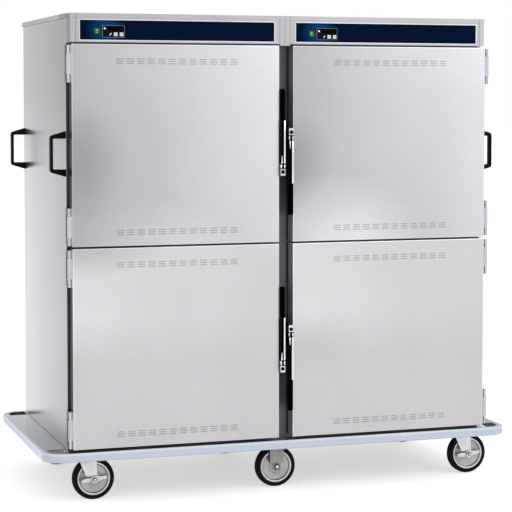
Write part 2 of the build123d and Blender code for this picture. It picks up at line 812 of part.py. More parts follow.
for level, door_bottom in door_bottoms.items():
    for side, sign in sides.items():
        name = f"{level}_{side}"
        with BuildPart() as door_pan:
            door_block(sign, door_bottom, 0, (door_face, door_back))
            fillet(door_pan.faces().sort_by(Axis.Y)[0].edges(), door_edge_round)
            door_block(sign, door_bottom, door_skin, (door_face + door_skin, door_back), Mode.SUBTRACT)
            with BuildSketch(facing_front(door_face + vent_depth)):
                top_row_z = door_bottom + door_height - vent_top_margin
                bottom_row_z = door_bottom + vent_bottom_margin
                for row_z in (top_row_z, bottom_row_z):
                    with Locations((sign * door_middle_x, row_z)):
                        with GridLocations(vent_pitch, vent_slot_pitch, vent_groups, vent_slots):
                            SlotOverall(vent_width, vent_slot_height)
            extrude(amount=vent_depth, mode=Mode.SUBTRACT)
        save(door_pan, f"{name}_door_pan")

        with BuildPart() as door_liner:
            plug_back = door_back + door_plug_depth
            door_block(sign, door_bottom, door_plug_margin, (door_back, plug_back))
            fillet(door_liner.faces().sort_by(Axis.Y)[-1].edges(), door_plug_round)
            door_block(sign, door_bottom, door_skin, (door_back - door_skin, door_back))
            hollow_y = (door_back - door_skin, plug_back - door_skin)
            door_block(sign, door_bottom, door_plug_margin + door_skin, hollow_y, Mode.SUBTRACT)
        save(door_liner, f"{name}_door_liner")

        with BuildPart() as hinge_leaves:
            axis_x = sign * hinge_axis_x
            plate_x = (sign * door_outer_x, sign * (door_outer_x + hinge_plate))
            plate_front_y = door_face + door_edge_round
            plate_y = (plate_front_y, plate_front_y + hinge_leaf_depth)
            arm_y = (hinge_axis_y - hinge_plate / 2, hinge_axis_y + hinge_plate / 2)
            for height in hinge_heights(door_bottom):
                plate_z = (height - hinge_length / 2, height + hinge_length / 2)
                arm_z = (height - hinge_middle_length / 2, height + hinge_middle_length / 2)
                block(plate_x, plate_y, plate_z)
                block((sign * door_outer_x, axis_x), arm_y, arm_z)
                pillar((axis_x, hinge_axis_y), hinge_middle_radius, arm_z)
                bore_radius = hinge_pin_radius + running_clearance
                pillar((axis_x, hinge_axis_y), bore_radius, arm_z, Mode.SUBTRACT)
        save(hinge_leaves, f"{name}_hinge_leaves")

        up = latches[side]["up"]
        body_z = door_bottom + latches[side]["height"]
        pivot_z = body_z + up * latch_pivot_rise
        body_end_z = body_z + up * latch_body_height / 2
        slot_x = sign * lever_middle_x
        with BuildPart() as latch_body:
            body_x = (sign * door_inner_x, sign * (door_inner_x - latch_width))
            body_far_z = body_z - up * latch_body_height / 2
            block(body_x, (latch_front, latch_back), (body_far_z, body_end_z))
            front_edges = latch_body.faces().sort_by(Axis.Y)[0].edges()
            round_edge = front_edges.filter_by(Axis.X).sort_by(Axis.Z)[-1 if up > 0 else 0]
            fillet(round_edge, latch_nose_round)
            far_edge = latch_body.edges().filter_by(Axis.X).group_by(Axis.Y)[0]
            fillet(far_edge.sort_by(Axis.Z)[0 if up > 0 else -1], latch_edge_round)
            slot_half = latch_slot_width / 2
            block(
                (slot_x - slot_half, slot_x + slot_half),
                (latch_front, latch_pivot_y + latch_tang_radius + latch_slot_clearance),
                (pivot_z - up * (latch_tang_radius + latch_slot_clearance), body_end_z),
                mode=Mode.SUBTRACT,
            )
            cross_bar((latch_pivot_y, pivot_z), latch_pin_radius, (slot_x - slot_half, slot_x + slot_half))
            lock_y = (latch_front, latch_front + lock_depth)
            depth_bar((sign * latch_middle_x, body_z - up * lock_drop), lock_radius, lock_y, Mode.SUBTRACT)
        save(latch_body, f"{name}_latch_body")

        with BuildPart() as latch_lever:
            lever_start_z = pivot_z + up * (latch_pivot_setback + latch_lever_gap)
            lever_end_z = pivot_z + up * latch_lever_reach
            grip_start_z = lever_end_z - up * latch_grip_length
            lever_half = latch_lever_width / 2
            lever_x = (slot_x - lever_half, slot_x + lever_half)
            lever_back = latch_front + latch_lever_depth
            block(lever_x, (latch_front, lever_back), (grip_start_z, lever_end_z))
            fillet(latch_lever.edges().filter_by(Axis.Z), latch_grip_round)
            block(lever_x, (latch_front, lever_back), (lever_start_z, grip_start_z))
            block(
                (lever_x[0] + latch_channel_wall, lever_x[1] - latch_channel_wall),
                (latch_front, lever_back - latch_channel_wall),
                (lever_start_z, grip_start_z),
                mode=Mode.SUBTRACT,
            )
            strip_y = (latch_front, latch_front + latch_channel_wall)
            block((lever_x[1] - latch_strip_width, lever_x[1]), strip_y, (lever_start_z, grip_start_z))
            tang_half = latch_tang_width / 2
            tang_x = (slot_x - tang_half, slot_x + tang_half)
            tang_y = (latch_pivot_y - latch_tang_radius, lever_back)
            block(tang_x, tang_y, (pivot_z, lever_start_z + up * latch_tang_overlap))
            cross_bar((latch_pivot_y, pivot_z), latch_tang_radius, tang_x)
            tang_bore = latch_pin_radius + running_clearance
            cross_bar((latch_pivot_y, pivot_z), tang_bore, tang_x, Mode.SUBTRACT)
        save(latch_lever, f"{name}_latch_lever")


# Push handles: a bowed grip with tapered legs, at the front and rear of each side
grip_inner_reach = handle_reach - handle_grip_thickness
with BuildPart() as one_handle:
    with BuildSketch(facing_front(handle_width)):
        Polygon(
            (0, -handle_height / 2),
            (handle_reach, -handle_grip_corner),
            (handle_reach, handle_grip_corner),
            (0, handle_height / 2),
            align=None,
        )
        Polygon(
            (0, -handle_opening / 2),
            (grip_inner_reach, -handle_opening / 2),
            (grip_inner_reach, handle_opening / 2),
            (0, handle_opening / 2),
            align=None,
            mode=Mode.SUBTRACT,
        )
    extrude(amount=handle_width)
    fillet(one_handle.edges().filter_by(Axis.Y).group_by(Axis.X)[-1], handle_corner_round)
    fillet(one_handle.edges().filter_by(Axis.Y).group_by(Axis.X)[1], handle_inner_round)
    face_edges = one_handle.faces().filter_by(Axis.Y).edges().group_by(Axis.X)
    fillet([edge for group in face_edges[1:] for edge in group], handle_edge_round)

with BuildPart() as push_handles:
    handle_ys = (front_plane + handle_end_inset, rear_plane - handle_end_inset - handle_width)
    with Locations(*[(side_plane, near_y, handle_centre_height) for near_y in handle_ys]):
        add(one_handle.part)
    mirror(about=Plane.YZ)
save(push_handles, "push_handles")


# Power inlet: a plate and a cord gland low on the back
with BuildPart() as power_inlet:
    inlet_place = (side_plane - inlet_side_inset, deck_top + inlet_height)
    plate_back = rear_plane + inlet_plate_sheet
    front_block(inlet_place, (inlet_plate_size, inlet_plate_size), (rear_plane, plate_back))
    depth_bar(inlet_place, inlet_radius, (plate_back, plate_back + inlet_length))
    depth_bar(inlet_place, inlet_bore_radius, (plate_back, plate_back + inlet_length), Mode.SUBTRACT)
save(power_inlet, "power_inlet")


# Casters: swivel casters at the four corners and a rigid pair in the middle
ends = {"front": -1, "rear": 1}
caster_places = {}
rigid_places = {}
for end, direction in ends.items():
    rigid_places[f"{end}_middle"] = (0, direction * caster_y)
    for side, sign in sides.items():
        caster_places[f"{end}_{side}"] = (sign * caster_x, direction * caster_y)
wheel_places = dict(rigid_places)
for name, (x, y) in caster_places.items():
    wheel_places[name] = (x + caster_trail, y)

with BuildPart() as caster_top_plates:
    for centre in list(caster_places.values()) + list(rigid_places.values()):
        with BuildSketch(Plane.XY.offset(plate_bottom)):
            with Locations(centre):
                Rectangle(top_plate_length, top_plate_width)
        extrude(amount=top_plate_thickness)
    for centre in caster_places.values():
        pillar(centre, race_radius, (race_bottom, plate_bottom))
        head_top = crown_bottom - face_clearance
        pillar(centre, kingpin_radius, (head_top, race_bottom))
        pillar(centre, kingpin_head_radius, (head_top - kingpin_head_height, head_top))
save(caster_top_plates, "caster_top_plates")


def axle(x, y, brake_gap):
    """A headed axle through both legs of a fork, with room for a brake at its front end."""
    front_end = y - leg_outer - brake_gap
    rear_end = y + leg_outer
    depth_bar((x, wheel_centre_height), axle_radius, (front_end, rear_end))
    depth_bar((x, wheel_centre_height), axle_head_radius, (front_end - axle_head_height, front_end))
    depth_bar((x, wheel_centre_height), axle_head_radius, (rear_end, rear_end + axle_head_height))


# Swivel forks: a crown under the race and two tapered legs
for name, (x, y) in caster_places.items():
    with BuildPart() as fork:
        with BuildSketch(Plane.XY.offset(crown_bottom)):
            with Locations((x, y)):
                Circle(crown_radius)
            with Locations((x - fork_top_front, y)):
                Rectangle(
                    fork_top_front + fork_top_back, 2 * leg_outer, align=(Align.MIN, Align.CENTER)
                )
        extrude(amount=crown_thickness)
        for leg_y in (y - leg_inner, y + leg_outer):
            with BuildSketch(facing_front(leg_y)):
                with Locations((x + caster_trail, wheel_centre_height)):
                    Circle(fork_end_radius)
                with Locations((x - fork_top_front, crown_bottom)):
                    Rectangle(
                        fork_top_front + fork_top_back, crown_thickness, align=(Align.MIN, Align.MIN)
                    )
                make_hull()
            extrude(amount=fork_sheet)
        pillar((x, y), kingpin_radius + running_clearance, (crown_bottom, crown_top), Mode.SUBTRACT)
        brake_gap = brake_sheet + 2 * face_clearance if name.startswith("front") else 0
        axle(x + caster_trail, y, brake_gap)
    save(fork, f"{name}_caster_fork")


# Rigid forks: a web under the top plate and two straight legs
with BuildPart() as rigid_caster_forks:
    for x, y in rigid_places.values():
        half_leg = rigid_leg_width / 2
        web_y = (y - leg_outer, y + leg_outer)
        block((x - half_leg, x + half_leg), web_y, (plate_bottom - crown_thickness, plate_bottom))
        for leg_y in (y - leg_inner, y + leg_outer):
            with BuildSketch(facing_front(leg_y)):
                leg_bottom = wheel_centre_height + rigid_leg_end_rise
                with Locations((x, leg_bottom)):
                    Rectangle(
                        rigid_leg_width, plate_bottom - leg_bottom, align=(Align.CENTER, Align.MIN)
                    )
                with Locations((x, wheel_centre_height)):
                    Circle(rigid_tab_radius)
            extrude(amount=fork_sheet)
        axle(x, y, 0)
save(rigid_caster_forks, "rigid_caster_forks")


# Wheels: a tyre on a dished hub, turned about the axle
hub_web_half = wheel_width / 2 - hub_recess
hub_rim_inner = tyre_inner_radius - hub_rim_width
for name, (x, y) in wheel_places.items():
    with BuildPart() as wheel:
        half_wheel = wheel_width / 2
        outline = [
            (axle_radius + running_clearance, -hub_length / 2),
            (hub_boss_radius, -hub_length / 2),
            (hub_boss_radius, -hub_web_half),
            (hub_rim_inner, -hub_web_half),
            (hub_rim_inner, -half_wheel),
            (wheel_radius, -half_wheel),
            (wheel_radius, half_wheel),
            (hub_rim_inner, half_wheel),
            (hub_rim_inner, hub_web_half),
            (hub_boss_radius, hub_web_half),
            (hub_boss_radius, hub_length / 2),
            (axle_radius + running_clearance, hub_length / 2),
        ]
        axle_line = Axis((x, y, wheel_centre_height), (0, 1, 0))
        with BuildSketch(Plane.XY.offset(wheel_centre_height)):
            with Locations((x, y)):
                Polygon(*outline, align=None)
        revolve(axis=axle_line)
        tread_edges = wheel.edges().filter_by(GeomType.CIRCLE).sort_by(SortBy.RADIUS)[-2:]
        fillet(tread_edges, tyre_edge_round)
    save(wheel, f"{name}_wheel")


# Brake levers: a bar across the end of each front axle, outside the fork leg
for side in sides:
    x, y = wheel_places[f"front_{side}"]
    with BuildPart() as brake:
        with BuildSketch(facing_front(y - leg_outer - face_clearance)):
            with Locations((x, wheel_centre_height)):
                Circle(brake_boss_radius)
                Circle(axle_radius + running_clearance, mode=Mode.SUBTRACT)
            with Locations(Location((x, wheel_centre_height), brake_rest_angle)):
                arm_start = axle_head_radius
                arm_length = brake_reach - arm_start
                with Locations((arm_start + arm_length / 2, 0), (-arm_start - arm_length / 2, 0)):
                    Rectangle(arm_length, brake_arm_height)
        extrude(amount=brake_sheet)
    save(brake, f"front_{side}_brake_lever")
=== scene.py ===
"""Looks of the heated banquet cart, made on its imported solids. Lengths are metres."""

import json
import math

import bmesh
import bpy
from mathutils import Matrix, Vector


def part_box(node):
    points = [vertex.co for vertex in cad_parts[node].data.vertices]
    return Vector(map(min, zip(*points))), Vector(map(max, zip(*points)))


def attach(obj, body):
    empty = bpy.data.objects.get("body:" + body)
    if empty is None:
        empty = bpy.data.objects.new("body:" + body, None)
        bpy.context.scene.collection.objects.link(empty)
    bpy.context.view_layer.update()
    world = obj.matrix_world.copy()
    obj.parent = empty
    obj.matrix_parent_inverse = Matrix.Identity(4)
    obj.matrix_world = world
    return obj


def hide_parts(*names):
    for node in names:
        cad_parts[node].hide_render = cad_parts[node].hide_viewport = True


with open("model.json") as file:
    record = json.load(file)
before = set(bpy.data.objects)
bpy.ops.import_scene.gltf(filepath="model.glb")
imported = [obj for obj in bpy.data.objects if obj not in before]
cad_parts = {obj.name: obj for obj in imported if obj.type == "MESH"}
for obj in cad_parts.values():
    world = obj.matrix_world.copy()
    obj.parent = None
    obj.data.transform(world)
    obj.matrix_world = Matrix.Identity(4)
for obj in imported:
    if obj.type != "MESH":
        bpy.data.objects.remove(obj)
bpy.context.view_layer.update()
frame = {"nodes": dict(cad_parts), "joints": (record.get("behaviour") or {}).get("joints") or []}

scene = bpy.context.scene
nodes = frame["nodes"]
joint_places = {joint["name"]: joint.get("pos_m") for joint in frame["joints"]}
sides = ("left", "right")
levels = ("upper", "lower")
swivel_casters = ("front_left", "front_right", "rear_left", "rear_right")
rigid_casters = ("front_middle", "rear_middle")


# Finishes


def finish(name, colour, roughness, metallic=0.0, **plain):
    """A material with its plain values on the shader's own sockets."""
    material = bpy.data.materials.new(name)
    material.use_nodes = True
    sockets = material.node_tree.nodes["Principled BSDF"].inputs
    sockets["Base Color"].default_value = (*colour, 1.0)
    sockets["Roughness"].default_value = roughness
    sockets["Metallic"].default_value = metallic
    for socket, value in plain.items():
        sockets[socket.replace("_", " ")].default_value = value
    return material


def add(tree, kind, values=None, **settings):
    """A node in a tree, with its inputs set or linked."""
    made = tree.nodes.new(kind)
    for setting, value in settings.items():
        setattr(made, setting, value)
    for socket, value in (values or {}).items():
        if isinstance(value, bpy.types.NodeSocket):
            tree.links.new(value, made.inputs[socket])
        else:
            made.inputs[socket].default_value = value
    return made


def work_on(kind, values, **settings):
    """A node that works on patterns, in the tree that they belong to."""
    tree = next(value.id_data for value in values.values() if isinstance(value, bpy.types.NodeSocket))
    return add(tree, kind, values, **settings)


def feed(material, socket, value):
    """Link a pattern to the shader."""
    shader = material.node_tree.nodes["Principled BSDF"]
    material.node_tree.links.new(value, shader.inputs[socket])


def place_on(material, scale=(1.0, 1.0, 1.0), centre=(0.0, 0.0, 0.0)):
    """The point on the piece, measured from a centre and then stretched."""
    coords = add(material.node_tree, "ShaderNodeTexCoord").outputs["Object"]
    shift = tuple(-along * stretch for along, stretch in zip(centre, scale))
    mapped = work_on("ShaderNodeMapping", {"Vector": coords, "Location": shift, "Scale": scale})
    return mapped.outputs["Vector"]


def speckle(material, scale, detail=3.0, roughness=0.5):
    """Soft noise whose grain runs along the axis with the smallest scale."""
    values = {"Vector": place_on(material, scale), "Scale": 1.0, "Detail": detail, "Roughness": roughness}
    return work_on("ShaderNodeTexNoise", values).outputs["Fac"]


def spread(value, low, high, start=0.3, end=0.7):
    """Map a pattern's useful range on to a range of values."""
    values = {"Value": value, "From Min": start, "From Max": end, "To Min": low, "To Max": high}
    return work_on("ShaderNodeMapRange", values).outputs["Result"]


def tint(value, dark, light, start=0.3, end=0.7):
    """Turn a pattern into a change between two colours."""
    ramp = work_on("ShaderNodeValToRGB", {"Fac": value})
    first, last = ramp.color_ramp.elements
    first.position, first.color = start, (*dark, 1.0)
    last.position, last.color = end, (*light, 1.0)
    return ramp.outputs["Color"]


def sums(operation, first, second=0.0, third=0.0):
    """One step of arithmetic on patterns."""
    values = {0: first, 1: second, 2: third}
    return work_on("ShaderNodeMath", values, operation=operation).outputs["Value"]


def relief(height, distance, strength=1.0, under=None):
    """Raise the surface by a pattern, over another relief if one is given."""
    values = {"Height": height, "Distance": distance, "Strength": strength}
    if under is not None:
        values["Normal"] = under
    return work_on("ShaderNodeBump", values).outputs["Normal"]


def times(colour, factor):
    """A colour made darker or lighter by a pattern."""
    values = {"Vector": colour, "Scale": factor}
    return work_on("ShaderNodeVectorMath", values, operation="SCALE").outputs["Vector"]


def blend(share, first, second):
    """A colour between two others, by a share from 0 to 1."""
    values = {0: share, 6: first, 7: second}
    return work_on("ShaderNodeMix", values, data_type="RGBA").outputs[2]


def inside(value, half_width):
    """1 where a distance is under the half width, and 0 elsewhere."""
    return sums("LESS_THAN", sums("ABSOLUTE", value), half_width)


def position(material, centre=(0.0, 0.0, 0.0)):
    """The place of a point across, inward and up, measured from a centre."""
    parts = work_on("ShaderNodeSeparateXYZ", {"Vector": place_on(material, centre=centre)})
    return [parts.outputs[axis] for axis in "XYZ"]


def between(value, low, high):
    """1 where a value lies between two limits, and 0 elsewhere."""
    return inside(sums("SUBTRACT", value, (low + high) / 2), (high - low) / 2)


def all_of(first, *others):
    """1 where every mask is 1."""
    for other in others:
        first = sums("MULTIPLY", first, other)
    return first


def any_of(first, *others):
    """1 where one of the masks is 1."""
    for other in others:
        first = sums("MAXIMUM", first, other)
    return first


def toned(material, mask, factor):
    """Make the colour darker or lighter where a mask is 1."""
    shader = material.node_tree.nodes["Principled BSDF"]
    colour = shader.inputs["Base Color"].links[0].from_socket
    feed(material, "Base Color", times(colour, spread(mask, 1.0, factor, 0.0, 1.0)))


def shade(colour, factor):
    """The same colour, darker or lighter."""
    return tuple(channel * factor for channel in colour)


speck_grain = (330.0, 330.0, 330.0)
cloud_grain = (2.3, 2.3, 1.7)
upright_grain = (620.0, 620.0, 7.0)
level_grain = (7.0, 620.0, 620.0)
depth_grain = (620.0, 7.0, 620.0)
brush_depth = 0.00003
bare_steel = (0.66, 0.655, 0.665)
white = (1.0, 1.0, 1.0, 1.0)


def satin_steel(name, tone, roughness, grain, wave=0.0025):
    """Satin sheet: a fine speckle, faint brush lines, and the slow waves of a rolled sheet."""
    material = finish(name, tone, roughness, 1.0)
    specks = speckle(material, speck_grain, 2.0)
    clouds = speckle(material, cloud_grain, 2.0)
    lines = speckle(material, grain, 4.0, 0.6)
    cloudy = tint(clouds, shade(tone, 0.96), shade(tone, 1.04))
    feed(material, "Base Color", times(cloudy, spread(specks, 0.95, 1.04)))
    feed(material, "Roughness", spread(lines, roughness - 0.03, roughness + 0.04))
    waves = relief(clouds, wave)
    feed(material, "Normal", relief(lines, brush_depth, 0.4, waves))
    return material


overlay_inner_x = 0.0415
fold_lines_x = (0.0195, 0.769)


def bonnet_finish(overlay):
    """Satin sheet with a thin line of painted shade along each upright fold and a painted highlight on the
    trim round each overlay.
    """
    low, high = overlay
    trim, half_line = 0.004, 0.0009
    fold_painted_shade, trim_painted_highlight = 0.45, 1.45
    material = satin_steel("bonnet_steel", (0.45, 0.445, 0.455), 0.36, upright_grain)
    across, _, up = position(material)
    out = sums("ABSOLUTE", across)
    lines = [between(out, fold - half_line, fold + half_line) for fold in fold_lines_x]
    # painted shade along each fold
    toned(material, any_of(*lines), fold_painted_shade)
    beside = between(out, overlay_inner_x - trim, high.x + trim)
    level = between(up, low.z - trim, high.z + trim)
    # painted highlight on the trim round each overlay
    toned(material, all_of(beside, level), trim_painted_highlight)
    return material


def from_centre(across, up):
    """Distance from the centre of a point that lies so far across and so far up."""
    squares = sums("MULTIPLY_ADD", across, across, sums("MULTIPLY", up, up))
    return sums("SQRT", squares)


def oval(across, up, centre, radii):
    """Distance from a centre, as a share of an oval's radii."""
    out_x = sums("DIVIDE", sums("SUBTRACT", across, centre[0]), radii[0])
    out_z = sums("DIVIDE", sums("SUBTRACT", up, centre[1]), radii[1])
    return from_centre(out_x, out_z)


def painted_pool(material, across, up, centre, radii, factor):
    """Paint a soft pool in an oval round a centre: painted shade where the factor is under 1, painted light
    where it is over 1.
    """
    core, edge = 0.25, 1.1
    away = oval(across, up, centre, radii)
    toned(material, spread(away, 1.0, 0.0, core, edge), factor)


def door_finish(name, tone, door, corner_shades, fade, pools):
    """Satin door skin with painted light and shade: a painted reflection that blends between its four
    corners, painted pools, painted shade on the floors of its vents, painted highlights along its turned
    edges and its left edge, and painted shade on its outer side face at the hinges.
    """
    low, high = door
    middle, half = (low + high) / 2, (high - low) / 2
    top_left, top_right, low_left, low_right = corner_shades
    vent_rows = (low.z + 0.048, high.z - 0.060)  # middles of the two rows
    vent_half_height, vent_half_width, skin_depth = 0.014, 0.30, 0.0003
    rim_width, lit_width, strip_depth, strip_start = 0.0032, 0.0036, 0.0005, 0.002
    vent_painted_shade, rim_painted_highlight, lit_painted_highlight, strip_painted_shade = 0.62, 1.22, 1.08, 0.010
    material = satin_steel(name, tone, 0.36, upright_grain, 0.003)
    across, inward, up = position(material, middle)
    fade_start, fade_end = (half.z * (2.0 * share - 1.0) for share in fade)
    share_up = spread(up, 0.0, 1.0, fade_start, fade_end)
    at_left = spread(share_up, low_left, top_left, 0.0, 1.0)
    at_right = spread(share_up, low_right, top_right, 0.0, 1.0)
    reach = spread(across, 0.0, 1.0, -half.x, half.x)
    step = sums("SUBTRACT", at_right, at_left)
    # painted reflection and shade, blended between the four corners
    toned(material, 1.0, sums("MULTIPLY_ADD", step, reach, at_left))
    for centre, radii, factor in pools:
        painted_pool(material, across, up, (centre[0] - half.x, centre[1] - half.z), radii, factor)
    behind = sums("GREATER_THAN", inward, skin_depth - half.y)
    heights = [row - middle.z for row in vent_rows]
    rows = [between(up, z - vent_half_height, z + vent_half_height) for z in heights]
    vents = all_of(any_of(*rows), behind, inside(across, vent_half_width))
    # painted shade on the floors of the vents
    toned(material, vents, vent_painted_shade)
    away_x = sums("SUBTRACT", half.x, sums("ABSOLUTE", across))
    away_z = sums("SUBTRACT", half.z, sums("ABSOLUTE", up))
    rim = sums("LESS_THAN", sums("MINIMUM", away_x, away_z), rim_width)
    # painted highlight round the turned edges
    toned(material, rim, rim_painted_highlight)
    # painted highlight along the left edge
    toned(material, sums("LESS_THAN", across, lit_width - half.x), lit_painted_highlight)
    # painted shade on the outer side face, where the hinges are
    outward = sums("MULTIPLY", across, 1.0 if middle.x > 0 else -1.0)
    edge = sums("GREATER_THAN", outward, half.x - strip_depth)
    behind_skin = sums("GREATER_THAN", inward, strip_start - half.y)
    toned(material, all_of(edge, behind_skin), strip_painted_shade)
    return material


def side_finish(box, foot):
    """Satin side sheets with painted shade toward the front and painted light toward the back, a painted
    highlight along the front edge and a painted shadow line at the foot.
    """
    low, high = box
    edge_width, foot_height = 0.006, 0.003
    front_shade, back_shade = 0.72, 1.24
    edge_painted_highlight, foot_painted_shadow = 1.25, 0.35
    material = satin_steel("side_steel", (0.69, 0.686, 0.722), 0.24, upright_grain)
    _, inward, up = position(material)
    # painted shade toward the front, painted light toward the back
    toned(material, 1.0, spread(inward, front_shade, back_shade, low.y, high.y))
    # painted highlight along the front edge
    toned(material, sums("LESS_THAN", inward, low.y + edge_width), edge_painted_highlight)
    # painted shadow line where the sheet meets the deck
    toned(material, sums("LESS_THAN", up, foot + foot_height), foot_painted_shadow)
    return material


def deck_finish(top):
    """Satin deck sheet with painted light toward the back, and painted deep shade inside its slots and
    underneath.
    """
    light_start, light_end, back_shade = -0.15, 0.42, 1.38
    skin_depth, under_shade = 0.0015, 0.10
    material = satin_steel("deck_steel", (0.58, 0.59, 0.635), 0.20, depth_grain)
    _, inward, up = position(material)
    # painted light toward the back
    toned(material, 1.0, spread(inward, 1.0, back_shade, light_start, light_end))
    # painted deep shade below the top skin: in the slots and underneath
    toned(material, sums("LESS_THAN", up, top - skin_depth), under_shade)
    return material


def frame_finish(top):
    """Sheet round the door openings whose dark tone is painted shade, with painted light at its outer edges
    above the doors.
    """
    outer_start, outer_painted_light = 0.780, 5.4
    # dark base tone: painted shade on a steel frame
    material = satin_steel("door_frame_steel", (0.110, 0.112, 0.124), 0.38, upright_grain)
    across, _, up = position(material)
    outer = sums("GREATER_THAN", sums("ABSOLUTE", across), outer_start)
    # painted light at the outer edges above the doors
    toned(material, all_of(outer, sums("GREATER_THAN", up, top)), outer_painted_light)
    return material


def metal(name, tone, roughness, wear=0.12):
    """Plated or cast metal with fine unevenness."""
    grain_scale, stain_scale, grain_depth = 260.0, 23.0, 0.00004
    material = finish(name, tone, roughness, 1.0)
    grains = speckle(material, (grain_scale,) * 3, 4.0)
    stains = speckle(material, (stain_scale,) * 3, 3.0)
    feed(material, "Base Color", tint(stains, shade(tone, 1.0 - wear), tone))
    feed(material, "Roughness", spread(grains, roughness * 0.8, roughness * 1.3))
    feed(material, "Normal", relief(grains, grain_depth, 0.6))
    return material


def hinge_finish(pin_x):
    """Chrome knuckles with a line of painted shade where the leaf meets the door, and painted shade where
    their surface turns away from the camera.
    """
    knuckle_half, turned_painted_shade, leaf_painted_shade = 0.0035, 0.06, 0.03
    material = metal("hinge_chrome", (0.60, 0.60, 0.64), 0.24, wear=0.05)
    facing = add(material.node_tree, "ShaderNodeLayerWeight", {"Blend": 0.5}).outputs["Facing"]
    # painted shade where the surface turns away from the camera
    toned(material, spread(facing, 0.0, 1.0, 0.30, 0.62), turned_painted_shade)
    out = sums("ABSOLUTE", position(material)[0])
    # painted shade line where the leaf meets the door
    toned(material, sums("LESS_THAN", out, pin_x - knuckle_half), leaf_painted_shade)
    return material


def latch_finish(name, box, lock, toward_lever):
    """Chrome housing with painted shade along its outline, in the hole round its lock and in a slot for the
    lever's tongue.
    """
    low, high = box
    hole_radius, slot_start, slot_end, rim_width = 0.0070, 0.0105, 0.0135, 0.0014
    hole_painted_shade, outline_painted_shade = 0.006, 0.25
    material = metal(name, (0.74, 0.74, 0.78), 0.16, wear=0.10)
    across, _, up = position(material, lock)
    hole = sums("LESS_THAN", from_centre(across, up), hole_radius)
    along = sums("MULTIPLY", up, toward_lever)
    slot = between(along, slot_start, slot_end)
    half = (high.x - low.x) / 2
    from_middle = sums("SUBTRACT", across, (low.x + high.x) / 2 - lock.x)
    rim = sums("GREATER_THAN", sums("ABSOLUTE", from_middle), half - rim_width)
    # painted shade in the lock hole and in the lever's slot
    toned(material, any_of(hole, slot), hole_painted_shade)
    # painted shade along the outline
    toned(material, rim, outline_painted_shade)
    return material


deck_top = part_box("base_deck")[1].z
side_steel = side_finish(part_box("side_panels"), deck_top)
back_steel = satin_steel("back_steel", bare_steel, 0.36, level_grain)
top_steel = satin_steel("top_steel", bare_steel, 0.34, level_grain)
deck_steel = deck_finish(deck_top)
tank_steel = satin_steel("tank_steel", (0.66, 0.66, 0.67), 0.30, level_grain)
door_lining_steel = satin_steel("door_lining_steel", (0.66, 0.66, 0.67), 0.32, level_grain)

# The near-black tone of the base rails and caster plates is painted shade under the deck.
rail_steel = metal("rail_steel", (0.05, 0.05, 0.053), 0.60)
hinge_chrome = hinge_finish(joint_places["upper_right_door_hinge"][0])
latch_chrome = metal("latch_chrome", (0.74, 0.74, 0.78), 0.14, wear=0.10)
bright_strip = metal("bright_strip", (0.90, 0.90, 0.92), 0.22, wear=0.03)
shelf_chrome = metal("shelf_chrome", (0.78, 0.78, 0.80), 0.14, wear=0.05)
fork_zinc = metal("fork_zinc", (0.76, 0.75, 0.76), 0.34)
rigid_zinc = metal("rigid_zinc", (0.38, 0.36, 0.345), 0.50)
bolt_zinc = metal("bolt_zinc", (0.86, 0.86, 0.88), 0.20)
hub_zinc = metal("hub_zinc", (0.50, 0.49, 0.485), 0.36, wear=0.3)
rim_zinc = metal("rim_zinc", (0.62, 0.61, 0.63), 0.34, wear=0.08)
dark_zinc = metal("dark_zinc", (0.05, 0.05, 0.05), 0.40)


def moulded(name, tone, roughness, shine=0.5, scale=420.0, depth=0.00005, mottle=0.15, **plain):
    """Moulded or painted surface with a fine pebbled skin and slight changes of tone."""
    patch_scale = 16.0
    dark, light = shade(tone, 1.0 - mottle), shade(tone, 1.0 + mottle)
    material = finish(name, tone, roughness, Specular_IOR_Level=shine, **plain)
    pebbles = speckle(material, (scale,) * 3, 2.0)
    patches = speckle(material, (patch_scale,) * 3, 3.0)
    feed(material, "Base Color", tint(patches, dark, light))
    feed(material, "Roughness", spread(pebbles, roughness - 0.06, roughness + 0.08))
    feed(material, "Normal", relief(pebbles, depth, 0.5))
    return material


hinge_cover = moulded("hinge_cover", (0.62, 0.62, 0.65), 0.34, mottle=0.03)
tyre_rubber = moulded("tyre_rubber", (0.0045, 0.0045, 0.0055), 0.55, 0.1, scale=300.0, depth=0.0001)
gasket_rubber = moulded("gasket_rubber", (0.02, 0.02, 0.022), 0.6, 0.2)
handle_paint = moulded("handle_paint", (0.0022, 0.0022, 0.0028), 0.36, 0.08)
lever_paint = moulded("lever_paint", (0.0014, 0.0014, 0.0018), 0.32, 0.04)
grip_rubber = moulded("grip_rubber", (0.0008, 0.0008, 0.0010), 0.62, 0.0)
lock_black = moulded("lock_black", (0.001, 0.001, 0.001), 0.35, 0.05)
switch_black = moulded("switch_black", (0.010, 0.010, 0.011), 0.40, 0.25)
gland_black = moulded("gland_black", (0.012, 0.012, 0.013), 0.45, 0.3)
panel_dark = moulded("panel_dark", (0.0012, 0.0045, 0.014), 0.38, 0.05)
panel_rim = moulded("panel_rim", (0.22, 0.215, 0.21), 0.45, 0.2, mottle=0.05)
lamp_glow = {"Emission_Color": white, "Emission_Strength": 0.25}
lamp_white = moulded("lamp_white", (0.85, 0.86, 0.88), 0.30, mottle=0.02, **lamp_glow)
cable_sheath = moulded("cable_sheath", (0.42, 0.09, 0.04), 0.55)
blanket = moulded("blanket", (0.62, 0.50, 0.22), 0.9, scale=160.0, depth=0.002)
display_glass = finish("display_glass", (0.0006, 0.0006, 0.0008), 0.12, Specular_IOR_Level=0.04)
feed(display_glass, "Roughness", spread(speckle(display_glass, (300.0,) * 3), 0.05, 0.14))


